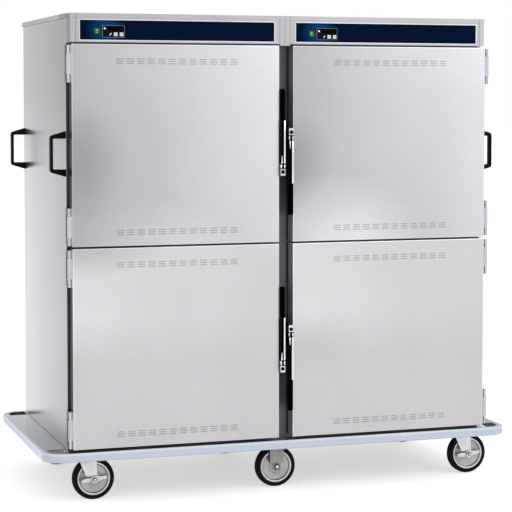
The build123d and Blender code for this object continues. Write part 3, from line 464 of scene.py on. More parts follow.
def bumper_finish(box):
    """Extruded vinyl band: a painted highlight along its top, fine lines along it and painted highlights at
    its ends.
    """
    high = box[1]
    tone, crown_painted_highlight = (0.60, 0.665, 0.79), (0.72, 0.785, 0.87)
    crown_start, crown_full, end_depth, end_painted_highlight = 0.010, 0.003, 0.0008, 1.35
    material = finish("bumper_vinyl", tone, 0.42)
    across, _, up = position(material)
    # painted highlight along the rounded top
    crown = spread(up, 0.0, 1.0, high.z - crown_start, high.z - crown_full)
    band = tint(crown, tone, crown_painted_highlight, 0.0, 1.0)
    clouds = speckle(material, (3.0, 3.0, 60.0), 3.0)
    cloudy = tint(clouds, shade(tone, 0.7), (0.8, 0.85, 0.92))
    feed(material, "Base Color", blend(0.10, band, cloudy))
    out = sums("ABSOLUTE", across)
    # painted highlight on the end faces
    toned(material, sums("GREATER_THAN", out, high.x - end_depth), end_painted_highlight)
    lines = speckle(material, (5.0, 5.0, 520.0), 3.0)
    feed(material, "Roughness", spread(lines, 0.36, 0.52))
    feed(material, "Normal", relief(lines, 0.0001, 0.5))
    return material


def overlay_finish(box):
    """Printed film: deep blue, with a soft lighter blue round the controls of each panel."""
    deep, light = (0.0004, 0.0062, 0.026), (0.0020, 0.048, 0.175)
    panel_pitch, glow_x, glow_radii = 0.7955, 0.092, (0.072, 0.060)
    low, high = box
    glow_middle = (low.x + glow_x, (low.z + high.z) / 2)
    material = finish("overlay_film", deep, 0.28, Specular_IOR_Level=0.02)
    across, _, up = position(material)
    along = sums("WRAP", across, low.x + panel_pitch, low.x)
    away = oval(along, up, glow_middle, glow_radii)
    feed(material, "Base Color", tint(away, light, deep, 0.35, 1.0))
    skin = speckle(material, (900.0,) * 3, 2.0)
    feed(material, "Roughness", spread(skin, 0.18, 0.30))
    feed(material, "Normal", relief(skin, 0.00002, 0.4))
    return material


def marked_plastic(name, tone, roughness, ink, centre, marks, **plain):
    """Moulded plastic with a printed mark, drawn by the function given."""
    material = finish(name, tone, roughness, **plain)
    across, _, up = position(material, centre)
    printed = marks(across, up)
    patches = tint(speckle(material, (90.0,) * 3), shade(tone, 0.9), shade(tone, 1.08))
    feed(material, "Base Color", blend(printed, patches, (*ink, 1.0)))
    return material


def on_and_off_marks(x, z):
    """A bar on the rocker's lower half and a ring on its upper half."""
    mark_z, bar_half_width, bar_half_height = 0.0042, 0.0007, 0.0022
    ring_radius, ring_half_line = 0.0019, 0.0005
    bar_z = sums("ADD", z, mark_z)
    bar = all_of(inside(x, bar_half_width), inside(bar_z, bar_half_height))
    away = from_centre(x, sums("SUBTRACT", z, mark_z))
    ring = inside(sums("SUBTRACT", away, ring_radius), ring_half_line)
    return any_of(bar, ring)


def chevron_marks(direction):
    """A chevron that points up or down on a key."""
    rise, half_line, half_width = 0.0008, 0.0007, 0.0032

    def marks(x, z):
        arm = sums("MULTIPLY_ADD", sums("ABSOLUTE", x), direction, z)
        line = inside(sums("SUBTRACT", arm, rise * direction), half_line)
        return all_of(line, inside(x, half_width))

    return marks


# Shapes

weld = 1e-7
same_place = 1e-5


def bevel(bm, edges, width, segments=2):
    """Round edges."""
    bmesh.ops.bevel(
        bm,
        geom=list(edges),
        offset=width,
        offset_type="OFFSET",
        segments=segments,
        profile=0.5,
        affect="EDGES",
        material=-1,
        clamp_overlap=True,
    )


def block(bm, low, high, round_by=0.0, segments=2):
    """A box between two corners, with its edges rounded."""
    low, high = Vector(low), Vector(high)
    size = high - low
    matrix = Matrix.Translation((low + high) / 2) @ Matrix.Diagonal((*size, 1.0))
    made = bmesh.ops.create_cube(bm, size=1.0, matrix=matrix)["verts"]
    if round_by:
        bevel(bm, {edge for vert in made for edge in vert.link_edges}, round_by, segments)


def turned(bm, profile, centre, axis="Y", steps=48, closed=True):
    """A shape turned about an axis from its (radius, along) profile."""
    spin_axis = Vector([float(letter == axis) for letter in "XYZ"])
    out = Vector((0, 0, 1)) if axis == "X" else Vector((1, 0, 0))
    centre = Vector(centre)
    verts = [bm.verts.new(centre + out * radius + spin_axis * along) for radius, along in profile]
    pairs = list(zip(verts, verts[1:] + verts[:1]))
    edges = [bm.edges.new(pair) for pair in (pairs if closed else pairs[:-1])]
    bmesh.ops.spin(
        bm,
        geom=verts + edges,
        cent=centre,
        axis=spin_axis,
        dvec=(0, 0, 0),
        angle=2 * math.pi,
        steps=steps,
        use_merge=True,
        use_duplicate=False,
    )


def rod(bm, start, end, radius, segments=8):
    """A straight round bar between two points."""
    start, end = Vector(start), Vector(end)
    along = end - start
    turn = along.to_track_quat("Z", "Y").to_matrix().to_4x4()
    bmesh.ops.create_cone(
        bm,
        cap_ends=True,
        segments=segments,
        radius1=radius,
        radius2=radius,
        depth=along.length,
        matrix=Matrix.Translation((start + end) / 2) @ turn,
    )


def push_out(bm, faces, push):
    """Push flat faces out into a solid."""
    made = bmesh.ops.extrude_face_region(bm, geom=faces)["geom"]
    moved = [item for item in made if isinstance(item, bmesh.types.BMVert)]
    bmesh.ops.translate(bm, verts=moved, vec=push)


def slab(bm, outline, push):
    """A flat outline of a few points, pushed out into a solid."""
    push_out(bm, [bm.faces.new([bm.verts.new(point) for point in outline])], push)


def span(middle, half):
    """The two ends that lie a half width either side of a middle."""
    return (middle - half, middle + half)


def widened(ends, by):
    """Two ends moved apart by a distance, or together where it is negative."""
    return (ends[0] - by, ends[1] + by)


def pierced_plate(bm, x_range, z_range, y_range, holes):
    """An upright plate that faces the front, with rectangular holes through it."""
    width, height = x_range[1] - x_range[0], z_range[1] - z_range[0]
    middle = Vector(((x_range[0] + x_range[1]) / 2, y_range[0], (z_range[0] + z_range[1]) / 2))
    upright = Matrix.Translation(middle) @ Matrix.Rotation(math.pi / 2, 4, "X")
    matrix = upright @ Matrix.Diagonal((width, height, 1.0, 1.0))
    bmesh.ops.create_grid(bm, x_segments=1, y_segments=1, size=0.5, matrix=matrix)
    for hole_x, hole_z in holes:
        cuts = [((x, 0, 0), (1, 0, 0)) for x in hole_x] + [((0, 0, z), (0, 0, 1)) for z in hole_z]
        for point, normal in cuts:
            everything = bm.verts[:] + bm.edges[:] + bm.faces[:]
            bmesh.ops.bisect_plane(bm, geom=everything, plane_co=point, plane_no=normal, dist=weld)
    gone = []
    for face in bm.faces:
        spot = face.calc_center_median()
        if any(hx[0] < spot.x < hx[1] and hz[0] < spot.z < hz[1] for hx, hz in holes):
            gone.append(face)
    bmesh.ops.delete(bm, geom=gone, context="FACES")
    push_out(bm, bm.faces[:], (0, y_range[1] - y_range[0], 0))


def round_corners(bm, x_range, z_range, radius):
    """Round the four outer corners of an upright plate."""
    corners = []
    for edge in bm.edges:
        first, second = edge.verts
        through = abs(first.co.y - second.co.y) > same_place
        at_x = min(abs(first.co.x - x) for x in x_range) < same_place
        at_z = min(abs(first.co.z - z) for z in z_range) < same_place
        if through and at_x and at_z:
            corners.append(edge)
    bevel(bm, corners, radius, 5)


def placed(name, data):
    """An object in the scene that holds a mesh, lamp or lens."""
    made = bpy.data.objects.new(name, data)
    scene.collection.objects.link(made)
    return made


def to_mesh(bm, name, material):
    """Turn a finished shape into a mesh with its finish."""
    mesh = bpy.data.meshes.new(name)
    bm.to_mesh(mesh)
    bm.free()
    mesh.materials.append(material)
    return mesh


def add_piece(bm, name, body, material, stands_for=(), sharp=32.0):
    """Turn a finished shape into a piece that rides on a body."""
    bmesh.ops.remove_doubles(bm, verts=bm.verts, dist=weld)
    bmesh.ops.recalc_face_normals(bm, faces=bm.faces)
    for face in bm.faces:
        face.smooth = True
    mesh = to_mesh(bm, name, material)
    mesh.set_sharp_from_angle(angle=math.radians(sharp))
    piece = placed(name, mesh)
    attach(piece, body)
    if stands_for:
        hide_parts(*stands_for)


def middle_of(box):
    """Centre of a node's box."""
    return (box[0] + box[1]) / 2


# Casters

half_tread = [
    (0.0595, 0.0130), (0.0606, 0.0152), (0.0630, 0.0160), (0.0685, 0.0158), (0.0722, 0.0149),
    (0.0745, 0.0130), (0.0757, 0.0104), (0.0760, 0.0086), (0.0748, 0.0080), (0.0748, 0.0070),
    (0.0761, 0.0064), (0.0762, 0.0030), (0.0762, 0.0014), (0.0749, 0.0008),
]
half_dish = [
    (0.00606, 0.0200), (0.0092, 0.0200), (0.0098, 0.0192), (0.0148, 0.0192), (0.0160, 0.0182),
    (0.0160, 0.0128), (0.0176, 0.0116), (0.0250, 0.0112), (0.0268, 0.0086), (0.0450, 0.0080),
    (0.0500, 0.0092), (0.0528, 0.0126),
]
half_rim = [(0.0528, 0.0126), (0.0536, 0.0154), (0.0550, 0.0160), (0.0594, 0.0159), (0.0602, 0.0140)]
wheel_forms = (
    ("tyre", half_tread, 96, tyre_rubber, "wheel_tyre"),
    ("hub_dish", half_dish, 72, hub_zinc, "caster_zinc"),
    ("hub_rim", half_rim, 96, rim_zinc, "caster_zinc"),
)
casters = swivel_casters + rigid_casters
wheels = {caster: middle_of(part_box(f"{caster}_wheel")) for caster in casters}
leg_face = 0.0244
axle_radius = 0.006

for caster, wheel in wheels.items():
    wheel_node = f"{caster}_wheel"
    for form, half, steps, material, slot in wheel_forms:
        mirrored = [(radius, -along) for radius, along in reversed(half)]
        bm = bmesh.new()
        turned(bm, half + mirrored, wheel, steps=steps)
        stands_for = [wheel_node] if form == "tyre" else []
        add_piece(bm, f"{caster}_{form}", wheel_node, material, stands_for)


def bent_fork(bm, centre, leg_y, top, bottom, top_x, bottom_x, thickness, shoulder, corner):
    """A sheet bent down on both sides of a wheel, with its legs tapered and their ends rounded."""
    step = shoulder * 0.3  # how far the middle of each bend lies from its corner
    bend = [(leg_y - step, top - step), (leg_y - shoulder, top)]
    half = [(leg_y, bottom), (leg_y, top - shoulder), *bend]
    path = [(-y, z) for y, z in half] + half[::-1]
    verts = [bm.verts.new((centre.x + top_x[0], centre.y + y, z)) for y, z in path]
    edges = [bm.edges.new(pair) for pair in zip(verts, verts[1:])]
    made = bmesh.ops.extrude_edge_only(bm, edges=edges)["geom"]
    far = [item for item in made if isinstance(item, bmesh.types.BMVert)]
    bmesh.ops.translate(bm, verts=far, vec=(top_x[1] - top_x[0], 0, 0))
    for group, shift in ((verts, bottom_x[0] - top_x[0]), (far, bottom_x[1] - top_x[1])):
        low = [vert for vert in group if abs(vert.co.z - bottom) < same_place]
        bmesh.ops.translate(bm, verts=low, vec=(shift, 0, 0))
    sheet = [item for item in made if isinstance(item, bmesh.types.BMFace)]
    bmesh.ops.recalc_face_normals(bm, faces=sheet)
    inward = -1.0 if sum(face.normal.z for face in sheet) > 0 else 1.0
    bmesh.ops.solidify(bm, geom=sheet, thickness=-inward * thickness)
    ends = []
    for edge in bm.edges:
        first, second = edge.verts
        level = max(abs(first.co.z - bottom), abs(second.co.z - bottom)) < same_place
        if level and abs(first.co.x - second.co.x) < same_place:
            ends.append(edge)
    bevel(bm, ends, corner, 5)


def axle_end(washers, nuts, tips, wheel, direction, reach, washer_radius, nut_radius):
    """A washer, a hexagon nut and the rounded tip of an axle, stacked outward from a fork leg."""
    stack = ((washers, washer_radius, 0.0012, 28), (nuts, nut_radius, 0.0045, 6), (tips, 0.0036, 0.0058, 16))
    face = wheel.y + direction * reach
    start = face
    for bm, radius, top, sides_count in stack:
        end = face + direction * top
        rod(bm, (wheel.x, start, wheel.z), (wheel.x, end, wheel.z), radius, sides_count)
        start = end


swivel_sheet = {"thickness": 0.003, "shoulder": 0.007, "corner": 0.007}
rigid_sheet = {"thickness": 0.004, "shoulder": 0.004, "corner": 0.008}
strap_inset, strap_thickness = 0.004, 0.004
axle_inset, washer_inset = 0.007, 0.006
swivel_washer, swivel_nut, rigid_washer, rigid_nut = 0.0104, 0.0072, 0.0108, 0.0062  # radii
strap_foot = [(-0.0115, -0.004), (-0.0060, -0.0110), (0.0060, -0.0110), (0.0115, -0.004)]
crown_profile = [
    (0.00806, -0.008), (0.036, -0.008), (0.038, -0.006),
    (0.038, -0.002), (0.036, 0.0), (0.00806, 0.0),
]
for caster in swivel_casters:
    node = f"{caster}_caster_fork"
    body = f"{caster}_swivel"
    low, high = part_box(node)
    wheel = wheels[caster]
    swivel = Vector(joint_places[body])
    trail = wheel.x - swivel.x
    centre = Vector((swivel.x, wheel.y, 0))
    bm = bmesh.new()
    leg_top, leg_foot = (-0.018, 0.044), (trail - 0.030, trail + 0.005)
    leg_y, foot = leg_face - 0.001, wheel.z + 0.011
    bent_fork(bm, centre, leg_y, high.z, foot, leg_top, leg_foot, **swivel_sheet)
    for direction in (-1, 1):
        strap_y = wheel.y + direction * (leg_face - strap_inset)
        outline = [(wheel.x + x, strap_y, wheel.z + z) for x, z in strap_foot]
        outline += [(wheel.x + x, strap_y, high.z - 0.010) for x in (0.0075, -0.0085)]
        slab(bm, outline, (0, direction * strap_thickness, 0))
    turned(bm, crown_profile, (swivel.x, swivel.y, high.z), "Z")
    nuts = bmesh.new()
    tips = bmesh.new()
    axle_y = widened((low.y, high.y), -axle_inset)
    rod(nuts, *[(wheel.x, y, wheel.z) for y in axle_y], axle_radius, 20)
    axle_end(bm, nuts, tips, wheel, -1, wheel.y - low.y - washer_inset, swivel_washer, swivel_nut)
    axle_end(bm, nuts, tips, wheel, 1, high.y - wheel.y - washer_inset, swivel_washer, swivel_nut)
    add_piece(bm, f"{caster}_fork_sheet", body, fork_zinc, [node])
    add_piece(nuts, f"{caster}_axle_nuts", body, dark_zinc)
    add_piece(tips, f"{caster}_axle_tips", body, bolt_zinc)

brake_tilt, brake_round = math.radians(-6.0), 0.0008
brake_arms = (
    [(0.010, -0.0100), (0.022, -0.0080), (0.046, -0.0040), (0.046, 0.0058), (0.024, 0.0062), (0.010, 0.0110)],
    [(-0.0165, -0.0090), (-0.046, -0.0070), (-0.046, 0.0050), (-0.030, 0.0070), (-0.0165, 0.0055)],
)
brake_boss = [
    (0.0062, 0.0), (0.0140, 0.0), (0.0140, -0.0022), (0.0132, -0.003),
    (0.0112, -0.003), (0.0106, -0.0016), (0.0062, -0.0016),
]
for side in sides:
    node = f"front_{side}_brake_lever"
    low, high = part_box(node)
    wheel = wheels[f"front_{side}"]
    bm = bmesh.new()
    for arm in brake_arms:
        outline = [(wheel.x + x, high.y, wheel.z + z) for x, z in arm]
        slab(bm, outline, (0, low.y - high.y, 0))
    flat_edges = [edge for edge in bm.edges if abs(edge.verts[0].co.y - edge.verts[1].co.y) < same_place]
    bevel(bm, flat_edges, brake_round)
    neck_x = (wheel.x - 0.018, wheel.x - 0.010)
    block(bm, *zip(neck_x, (high.y - 0.0012, high.y), span(wheel.z, 0.003)))
    turn = Matrix.Translation(wheel) @ Matrix.Rotation(brake_tilt, 4, "Y")
    bmesh.ops.transform(bm, matrix=turn @ Matrix.Translation(-wheel), verts=bm.verts)
    turned(bm, brake_boss, (wheel.x, high.y, wheel.z))
    add_piece(bm, f"front_{side}_brake_bar", f"front_{side}_brake", fork_zinc, [node])

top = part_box("rigid_caster_forks")[1].z
tab_thickness = 0.004
tab = [(0.006, 0.0), (0.0150, 0.0), (0.0160, 0.001), (0.0160, 0.003), (0.0150, 0.004), (0.006, 0.004)]
leg_x = (-0.026, 0.026)
bm = bmesh.new()
washers = bmesh.new()
bolts = bmesh.new()
for caster in rigid_casters:
    wheel = wheels[caster]
    centre = Vector((wheel.x, wheel.y, 0))
    foot = wheel.z + 0.012
    bent_fork(bm, centre, leg_face, top, foot, leg_x, leg_x, **rigid_sheet)
    for y in (wheel.y - leg_face, wheel.y + leg_face - tab_thickness):
        turned(bm, tab, (wheel.x, y, wheel.z))
    rod(bolts, *[(wheel.x, y, wheel.z) for y in span(wheel.y, leg_face)], axle_radius, 20)
    for direction in (-1, 1):
        axle_end(washers, bolts, bolts, wheel, direction, leg_face, rigid_washer, rigid_nut)
add_piece(bm, "rigid_fork_sheets", "cabinet", rigid_zinc, ["rigid_caster_forks"])
add_piece(washers, "rigid_axle_washers", "cabinet", dark_zinc)
add_piece(bolts, "rigid_axle_bolts", "cabinet", bolt_zinc)

plate_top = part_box("caster_top_plates")[1].z
bolt_x, bolt_y = 0.046, 0.039
nut_radius, bolt_radius = 0.0082, 0.0048
nut_top, nut_bottom, bolt_end = plate_top - 0.004, plate_top - 0.0115, plate_top - 0.0150
bm = bmesh.new()
for caster in casters:
    place = joint_places[f"{caster}_swivel"] if caster in swivel_casters else wheels[caster]
    for x in (-bolt_x, bolt_x):
        for y in (-bolt_y, bolt_y):
            spot = (place[0] + x, place[1] + y)
            rod(bm, (*spot, nut_bottom), (*spot, nut_top), nut_radius, 6)
            rod(bm, (*spot, bolt_end), (*spot, nut_bottom), bolt_radius, 12)
add_piece(bm, "caster_plate_nuts", "cabinet", bolt_zinc)


# Latches

channel_depth, channel_start, lever_reach = 0.016, 0.0126, 0.281
wall = 0.002
tang_half_width, tang_depth, tang_overlap = 0.004, 0.008, 0.020
strip_width, strip_round = 0.0056, 0.0006
tooth_depth = 0.006
tooth = [(0.002, 0.0), (0.0075, 0.0), (0.0060, 0.028), (0.0045, 0.028)]
grip_length, grip_round = 0.114, 0.0052
lock_drop = 0.008
sleeve = [(0.00256, -0.004), (0.008, -0.004), (0.008, 0.004), (0.00256, 0.004)]
barrel = [
    (0.0, 0.0038), (0.0, 0.0012), (0.0030, 0.0009),
    (0.0042, 0.0002), (0.00495, 0.0003), (0.00495, 0.0038),
]
rivet = [(0.0, 0.0), (0.0011, 0.00008), (0.0016, 0.0006), (0.0, 0.0006)]
rivet_x, rivet_heights = 0.0072, (-0.0175, 0.0010)
rivet_drop = 0.002

for level in levels:
    for side in sides:
        name = f"{level}_{side}"
        up = 1 if side == "left" else -1
        low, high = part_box(f"{name}_latch_lever")
        pivot = Vector(joint_places[f"{name}_latch_pivot"])
        body = f"{name}_lever"
        front, back = low.y, low.y + channel_depth
        start = pivot.z + up * channel_start
        end = pivot.z + up * lever_reach
        grip_start = end - up * grip_length
        z_low, z_high = sorted((start, grip_start))
        bm = bmesh.new()
        (x_in, x_out), (y_in, y_out) = widened((low.x, high.x), -wall), widened((front, back), -wall)
        section = [
            (low.x, front), (low.x, back), (high.x, back), (high.x, y_in),
            (x_out, y_in), (x_out, y_out), (x_in, y_out), (x_in, front),
        ]
        slab(bm, [(x, y, z_low) for x, y in section], (0, 0, z_high - z_low))
        tang_z = sorted((pivot.z, start + up * tang_overlap))
        block(bm, *zip(span(pivot.x, tang_half_width), (pivot.y - tang_depth, back - wall), tang_z))
        turned(bm, sleeve, pivot, "X", 24)
        add_piece(bm, f"{name}_lever_channel", body, lever_paint, [f"{name}_latch_lever"])

        bm = bmesh.new()
        block(bm, (high.x - strip_width, front, z_low), (high.x, front + wall, z_high), strip_round)
        slab(bm, [(low.x + x, front, start + up * z) for x, z in tooth], (0, tooth_depth, 0))
        add_piece(bm, f"{name}_lever_strip", body, bright_strip)

        bm = bmesh.new()
        grip_low, grip_high = sorted((grip_start, end))
        block(bm, (low.x, front, grip_low), (high.x, back, grip_high), grip_round, 4)
        add_piece(bm, f"{name}_lever_grip", body, grip_rubber)

        body_low, body_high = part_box(f"{name}_latch_body")
        body_middle = (body_low + body_high) / 2
        lock = Vector((body_middle.x, body_low.y, body_middle.z - up * lock_drop))
        bm = bmesh.new()
        turned(bm, barrel, lock, steps=28, closed=False)
        add_piece(bm, f"{name}_lock_barrel", f"{name}_door", lock_black)
        bm = bmesh.new()
        for x in (-rivet_x, rivet_x):
            for z in rivet_heights:
                spot = Vector((body_middle.x + x, body_low.y, body_middle.z - up * rivet_drop + up * z))
                turned(bm, rivet, spot, steps=14)
        add_piece(bm, f"{name}_latch_rivets", f"{name}_door", bright_strip)


# Controls

housing_low, housing_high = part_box("control_housings")
controller_face, controller_back = housing_low.y, housing_high.y
film_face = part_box("control_overlays")[0].y
case_left, case_rise = 0.008, 0.010  # from the first key
case_half_width, case_half_height = 0.040, 0.021
window_right, window_rise = 0.009, 0.010  # from the middle of the case
window_half_width, window_half_height = 0.028, 0.008
inner_half_width, inner_half_height, inner_front = 0.036, 0.017, film_face + 0.006
lamp_place, tick_place = 0.0085, 0.029  # from the case's left edge
rim_width, rim_corner, inner_round, tick_rise = 0.0012, 0.0030, 0.001, 0.0002
panel_face, glass_face = controller_face + 0.0003, controller_face + 0.0005
piece_gap = 0.0004
frame_half_width, frame_half_height, frame_rise, rocker_reach = 0.0125, 0.0145, 0.002, 0.0100
switch_wall, switch_front, switch_back = 0.002, film_face + 0.012, film_face + 0.024
lamp_profile = [(0.0, -0.0003), (0.0032, -0.0002), (0.0038, 0.0006), (0.0, 0.0006)]
tick = [(-0.0038, -0.0024), (-0.0018, -0.0042), (0.0040, 0.0028), (0.0024, 0.0044)]
for side in sides:
    key_boxes = [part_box(f"{side}_{order}_key") for order in ("first", "second")]
    first_key = middle_of(key_boxes[0])
    middle = Vector((first_key.x - case_left, 0, first_key.z + case_rise))
    x_range = span(middle.x, case_half_width)
    z_range = span(middle.z, case_half_height)
    window_x = span(middle.x + window_right, window_half_width)
    window_z = span(middle.z + window_rise, window_half_height)
    holes = [(window_x, window_z)]
    for key_low, key_high in key_boxes:
        key_x, key_z = (key_low.x, key_high.x), (key_low.z, key_high.z)
        holes.append((widened(key_x, piece_gap), widened(key_z, piece_gap)))
    inner_x = widened(x_range, -rim_width)
    inner_z = widened(z_range, -rim_width)

    bm = bmesh.new()
    pierced_plate(bm, x_range, z_range, (controller_face, film_face), [(inner_x, inner_z)])
    round_corners(bm, x_range, z_range, rim_corner)
    add_piece(bm, f"{side}_controller_rim", "cabinet", panel_rim)

    bm = bmesh.new()
    pierced_plate(bm, inner_x, inner_z, (panel_face, film_face), holes)
    behind_x, behind_z = span(middle.x, inner_half_width), span(middle.z, inner_half_height)
    block(bm, *zip(behind_x, (inner_front, controller_back), behind_z), inner_round)
    replaced = ["control_housings"] if side == "left" else []
    add_piece(bm, f"{side}_controller_panel", "cabinet", panel_dark, replaced)

    bm = bmesh.new()
    block(bm, *zip(window_x, (glass_face, film_face), window_z))
    add_piece(bm, f"{side}_display", "cabinet", display_glass)

    bm = bmesh.new()
    turned(bm, lamp_profile, (x_range[0] + lamp_place, panel_face, middle.z + window_rise), steps=20)
    tick_x = x_range[0] + tick_place
    slab(bm, [(tick_x + x, panel_face, first_key.z + z) for x, z in tick], (0, -tick_rise, 0))
    add_piece(bm, f"{side}_status_lamp", "cabinet", lamp_white)

    rocker_low, rocker_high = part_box(f"{side}_rocker")
    rocker_x = (rocker_low.x + rocker_high.x) / 2
    switch_z = joint_places[f"{side}_rocker_tilt"][2]
    opening = (widened((rocker_low.x, rocker_high.x), piece_gap), span(switch_z, rocker_reach))
    frame_x, frame_z = span(rocker_x, frame_half_width), span(switch_z, frame_half_height)
    bm = bmesh.new()
    pierced_plate(bm, frame_x, frame_z, (film_face - frame_rise, film_face), [opening])
    body_x, body_z = (widened(ends, switch_wall) for ends in opening)
    walls = bmesh.new()
    pierced_plate(walls, body_x, body_z, (film_face, switch_front), [opening])
    spare = bpy.data.meshes.new("spare")
    walls.to_mesh(spare)
    walls.free()
    bm.from_mesh(spare)
    bpy.data.meshes.remove(spare)
    block(bm, *zip(body_x, (switch_front, switch_back), body_z))
    add_piece(bm, f"{side}_switch_frame", "cabinet", switch_black)


# Shelves

shelf_low, shelf_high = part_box("wire_shelves")
frame_rod, wire = 0.004, 0.002
frame_radius = frame_rod * 0.98  # just inside its solid
shelf_count, wires_per_shelf = 4, 16
shelf_inner_x, shelf_height = 0.065, 0.010
shelf_step = (shelf_high.z - shelf_low.z - shelf_height) / (shelf_count - 1)
shelf_spans = {"left": (shelf_low.x, -shelf_inner_x), "right": (shelf_inner_x, shelf_high.x)}
y_ends = widened((shelf_low.y, shelf_high.y), -frame_rod)
for side in sides:
    x_ends = widened(shelf_spans[side], -frame_rod)
    pitch = (x_ends[1] - x_ends[0]) / (wires_per_shelf + 1)
    bm = bmesh.new()
    for shelf in range(shelf_count):
        z = shelf_low.z + shelf * shelf_step + frame_rod
        for y in (*y_ends, sum(y_ends) / 2):
            rod(bm, (x_ends[0], y, z), (x_ends[1], y, z), frame_radius, 10)
        for x in x_ends:
            rod(bm, (x, y_ends[0], z), (x, y_ends[1], z), frame_radius, 10)
        for step in range(wires_per_shelf):
            x = x_ends[0] + (step + 1) * pitch
            rod(bm, (x, y_ends[0], z + frame_rod), (x, y_ends[1], z + frame_rod), wire, 8)
    replaced = ["wire_shelves"] if side == "left" else []
    add_piece(bm, f"{side}_wire_shelves", "cabinet", shelf_chrome, replaced, 50.0)


# Back of the cabinet


def screw_head(bm, spot, flat_radius, radius, steps):
    """A low domed screw head that stands out toward the back."""
    turned(bm, [(0.0, 0.0018), (flat_radius, 0.0014), (radius, 0.0), (0.0, 0.0)], spot, steps=steps)


inlet_low, inlet_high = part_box("power_inlet")
back_low, back_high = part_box("back_panel")
inlet = (inlet_low + inlet_high) / 2
plate_back = back_high.y + 0.003
inlet_screw = 0.036
bm = bmesh.new()
block(bm, (inlet_low.x, back_high.y, inlet_low.z), (inlet_high.x, plate_back, inlet_high.z), 0.001)
for x in (-inlet_screw, inlet_screw):
    for z in (-inlet_screw, inlet_screw):
        screw_head(bm, (inlet.x + x, plate_back, inlet.z + z), 0.0026, 0.0038, 18)
add_piece(bm, "inlet_plate", "cabinet", back_steel, ["power_inlet"])

gland_profile = [
    (0.0070, 0.0), (0.0140, 0.0), (0.0140, 0.0095), (0.0152, 0.0100),
    (0.0152, 0.0190), (0.0136, 0.0230), (0.0100, 0.0258), (0.0070, 0.0260),
]
gland_nut_radius, gland_nut_height = 0.0170, 0.0085
gland = Vector((inlet.x, plate_back, inlet.z))
bm = bmesh.new()
rod(bm, gland, gland + Vector((0, gland_nut_height, 0)), gland_nut_radius, 6)
turned(bm, gland_profile, gland, steps=40)
add_piece(bm, "cord_gland", "cabinet", gland_black)

screw_inset, screw_columns, screw_rows = 0.012, 9, 8
first_row, row_pitch, top_row = 0.030, 0.200, 1.700
column_pitch = (back_high.x - back_low.x - 2 * screw_inset) / (screw_columns - 1)
screw_xs = [back_low.x + screw_inset + step * column_pitch for step in range(screw_columns)]
screw_zs = [back_low.z + first_row + step * row_pitch for step in range(screw_rows)]
spots = [(x, z) for x in screw_xs for z in (screw_zs[0], top_row)]
spots += [(x, z) for x in (screw_xs[0], screw_xs[-1]) for z in screw_zs[1:]]
bm = bmesh.new()
for x, z in spots:
    screw_head(bm, (x, back_high.y, z), 0.0028, 0.0042, 14)
add_piece(bm, "back_panel_screws", "cabinet", bolt_zinc)


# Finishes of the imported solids

finishes = {
    "base_frame": rail_steel,
    "base_deck": deck_steel,
    "bumper": bumper_finish(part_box("bumper")),
    "side_panels": side_steel,
    "back_panel": back_steel,
    "top_panel": top_steel,
    "front_frame": frame_finish(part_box("upper_left_door_pan")[1].z + 0.004),
    "left_compartment_liner": tank_steel,
    "right_compartment_liner": tank_steel,
    "heating_cables": cable_sheath,
    "insulation": blanket,
    "control_bonnets": bonnet_finish(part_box("control_overlays")),
    "control_overlays": overlay_finish(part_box("control_overlays")),
    "hinge_frame_leaves": hinge_chrome,
    "door_gaskets": gasket_rubber,
    "latch_keepers": latch_chrome,
    "push_handles": handle_paint,
    "caster_top_plates": rail_steel,
}
# Painted reflection and shade on each door, as factors at its top left, top right, low left and low right
# corners.
door_shades = {
    "upper_left": (0.71, 1.08, 0.66, 0.98),
    "upper_right": (0.66, 1.05, 0.70, 0.96),
    "lower_left": (1.06, 0.94, 0.885, 0.88),
    "lower_right": (1.03, 0.90, 0.86, 0.84),
}
# Shares of each door's height over which its painted corner shade blends from the low corners to the top
# ones.
door_fades = {"upper": (0.0, 1.0), "lower": (0.42, 0.66)}
# Painted pools of shade and light on each door: centre from its low left corner, radii, factor.
painted_door_pools = {
    "upper_left": [((0.02, 0.30), (0.16, 0.20), 0.78), ((0.30, 0.0), (0.30, 0.14), 1.16)],
    "upper_right": [((0.0, 0.30), (0.14, 0.17), 0.78), ((0.17, 0.0), (0.30, 0.23), 1.42)],
    "lower_left": [((0.04, 0.7085), (0.28, 0.10), 0.76)],
    "lower_right": [((0.05, 0.33), (0.20, 0.10), 0.93)],
}
door_tones = {"upper": (0.645, 0.648, 0.682), "lower": (0.660, 0.648, 0.664)}
green, green_ink = (0.001, 0.19, 0.045), (0.9, 0.95, 0.9)
green_glow = {"Emission_Color": (0.0, 0.45, 0.12, 1.0), "Emission_Strength": 0.05, "Specular_IOR_Level": 0.1}
key_white, key_ink = (0.78, 0.79, 0.82), (0.10, 0.11, 0.13)
for side in sides:
    name = f"{side}_rocker"
    rocker = Vector(joint_places[f"{name}_tilt"])
    rocker.x = middle_of(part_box(name)).x
    look = (green, 0.30, green_ink, rocker, on_and_off_marks)
    finishes[name] = marked_plastic(f"{name}_plastic", *look, **green_glow)
    for order, direction in (("first", 1.0), ("second", -1.0)):
        key = f"{side}_{order}_key"
        look = (key_white, 0.35, key_ink, middle_of(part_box(key)), chevron_marks(direction))
        finishes[key] = marked_plastic(f"{key}_plastic", *look)
    for level in levels:
        name = f"{level}_{side}"
        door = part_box(f"{name}_door_pan")
        look = (door_shades[name], door_fades[level], painted_door_pools[name])
        finishes[f"{name}_door_pan"] = door_finish(f"{name}_door_steel", door_tones[level], door, *look)
        finishes[f"{name}_door_liner"] = door_lining_steel
        finishes[f"{name}_hinge_leaves"] = hinge_cover
        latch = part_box(f"{name}_latch_body")
        toward_lever = 1.0 if side == "left" else -1.0
        lock = middle_of(latch) - Vector((0.0, 0.0, toward_lever * lock_drop))
        finishes[f"{name}_latch_body"] = latch_finish(f"{name}_latch_chrome", latch, lock, toward_lever)

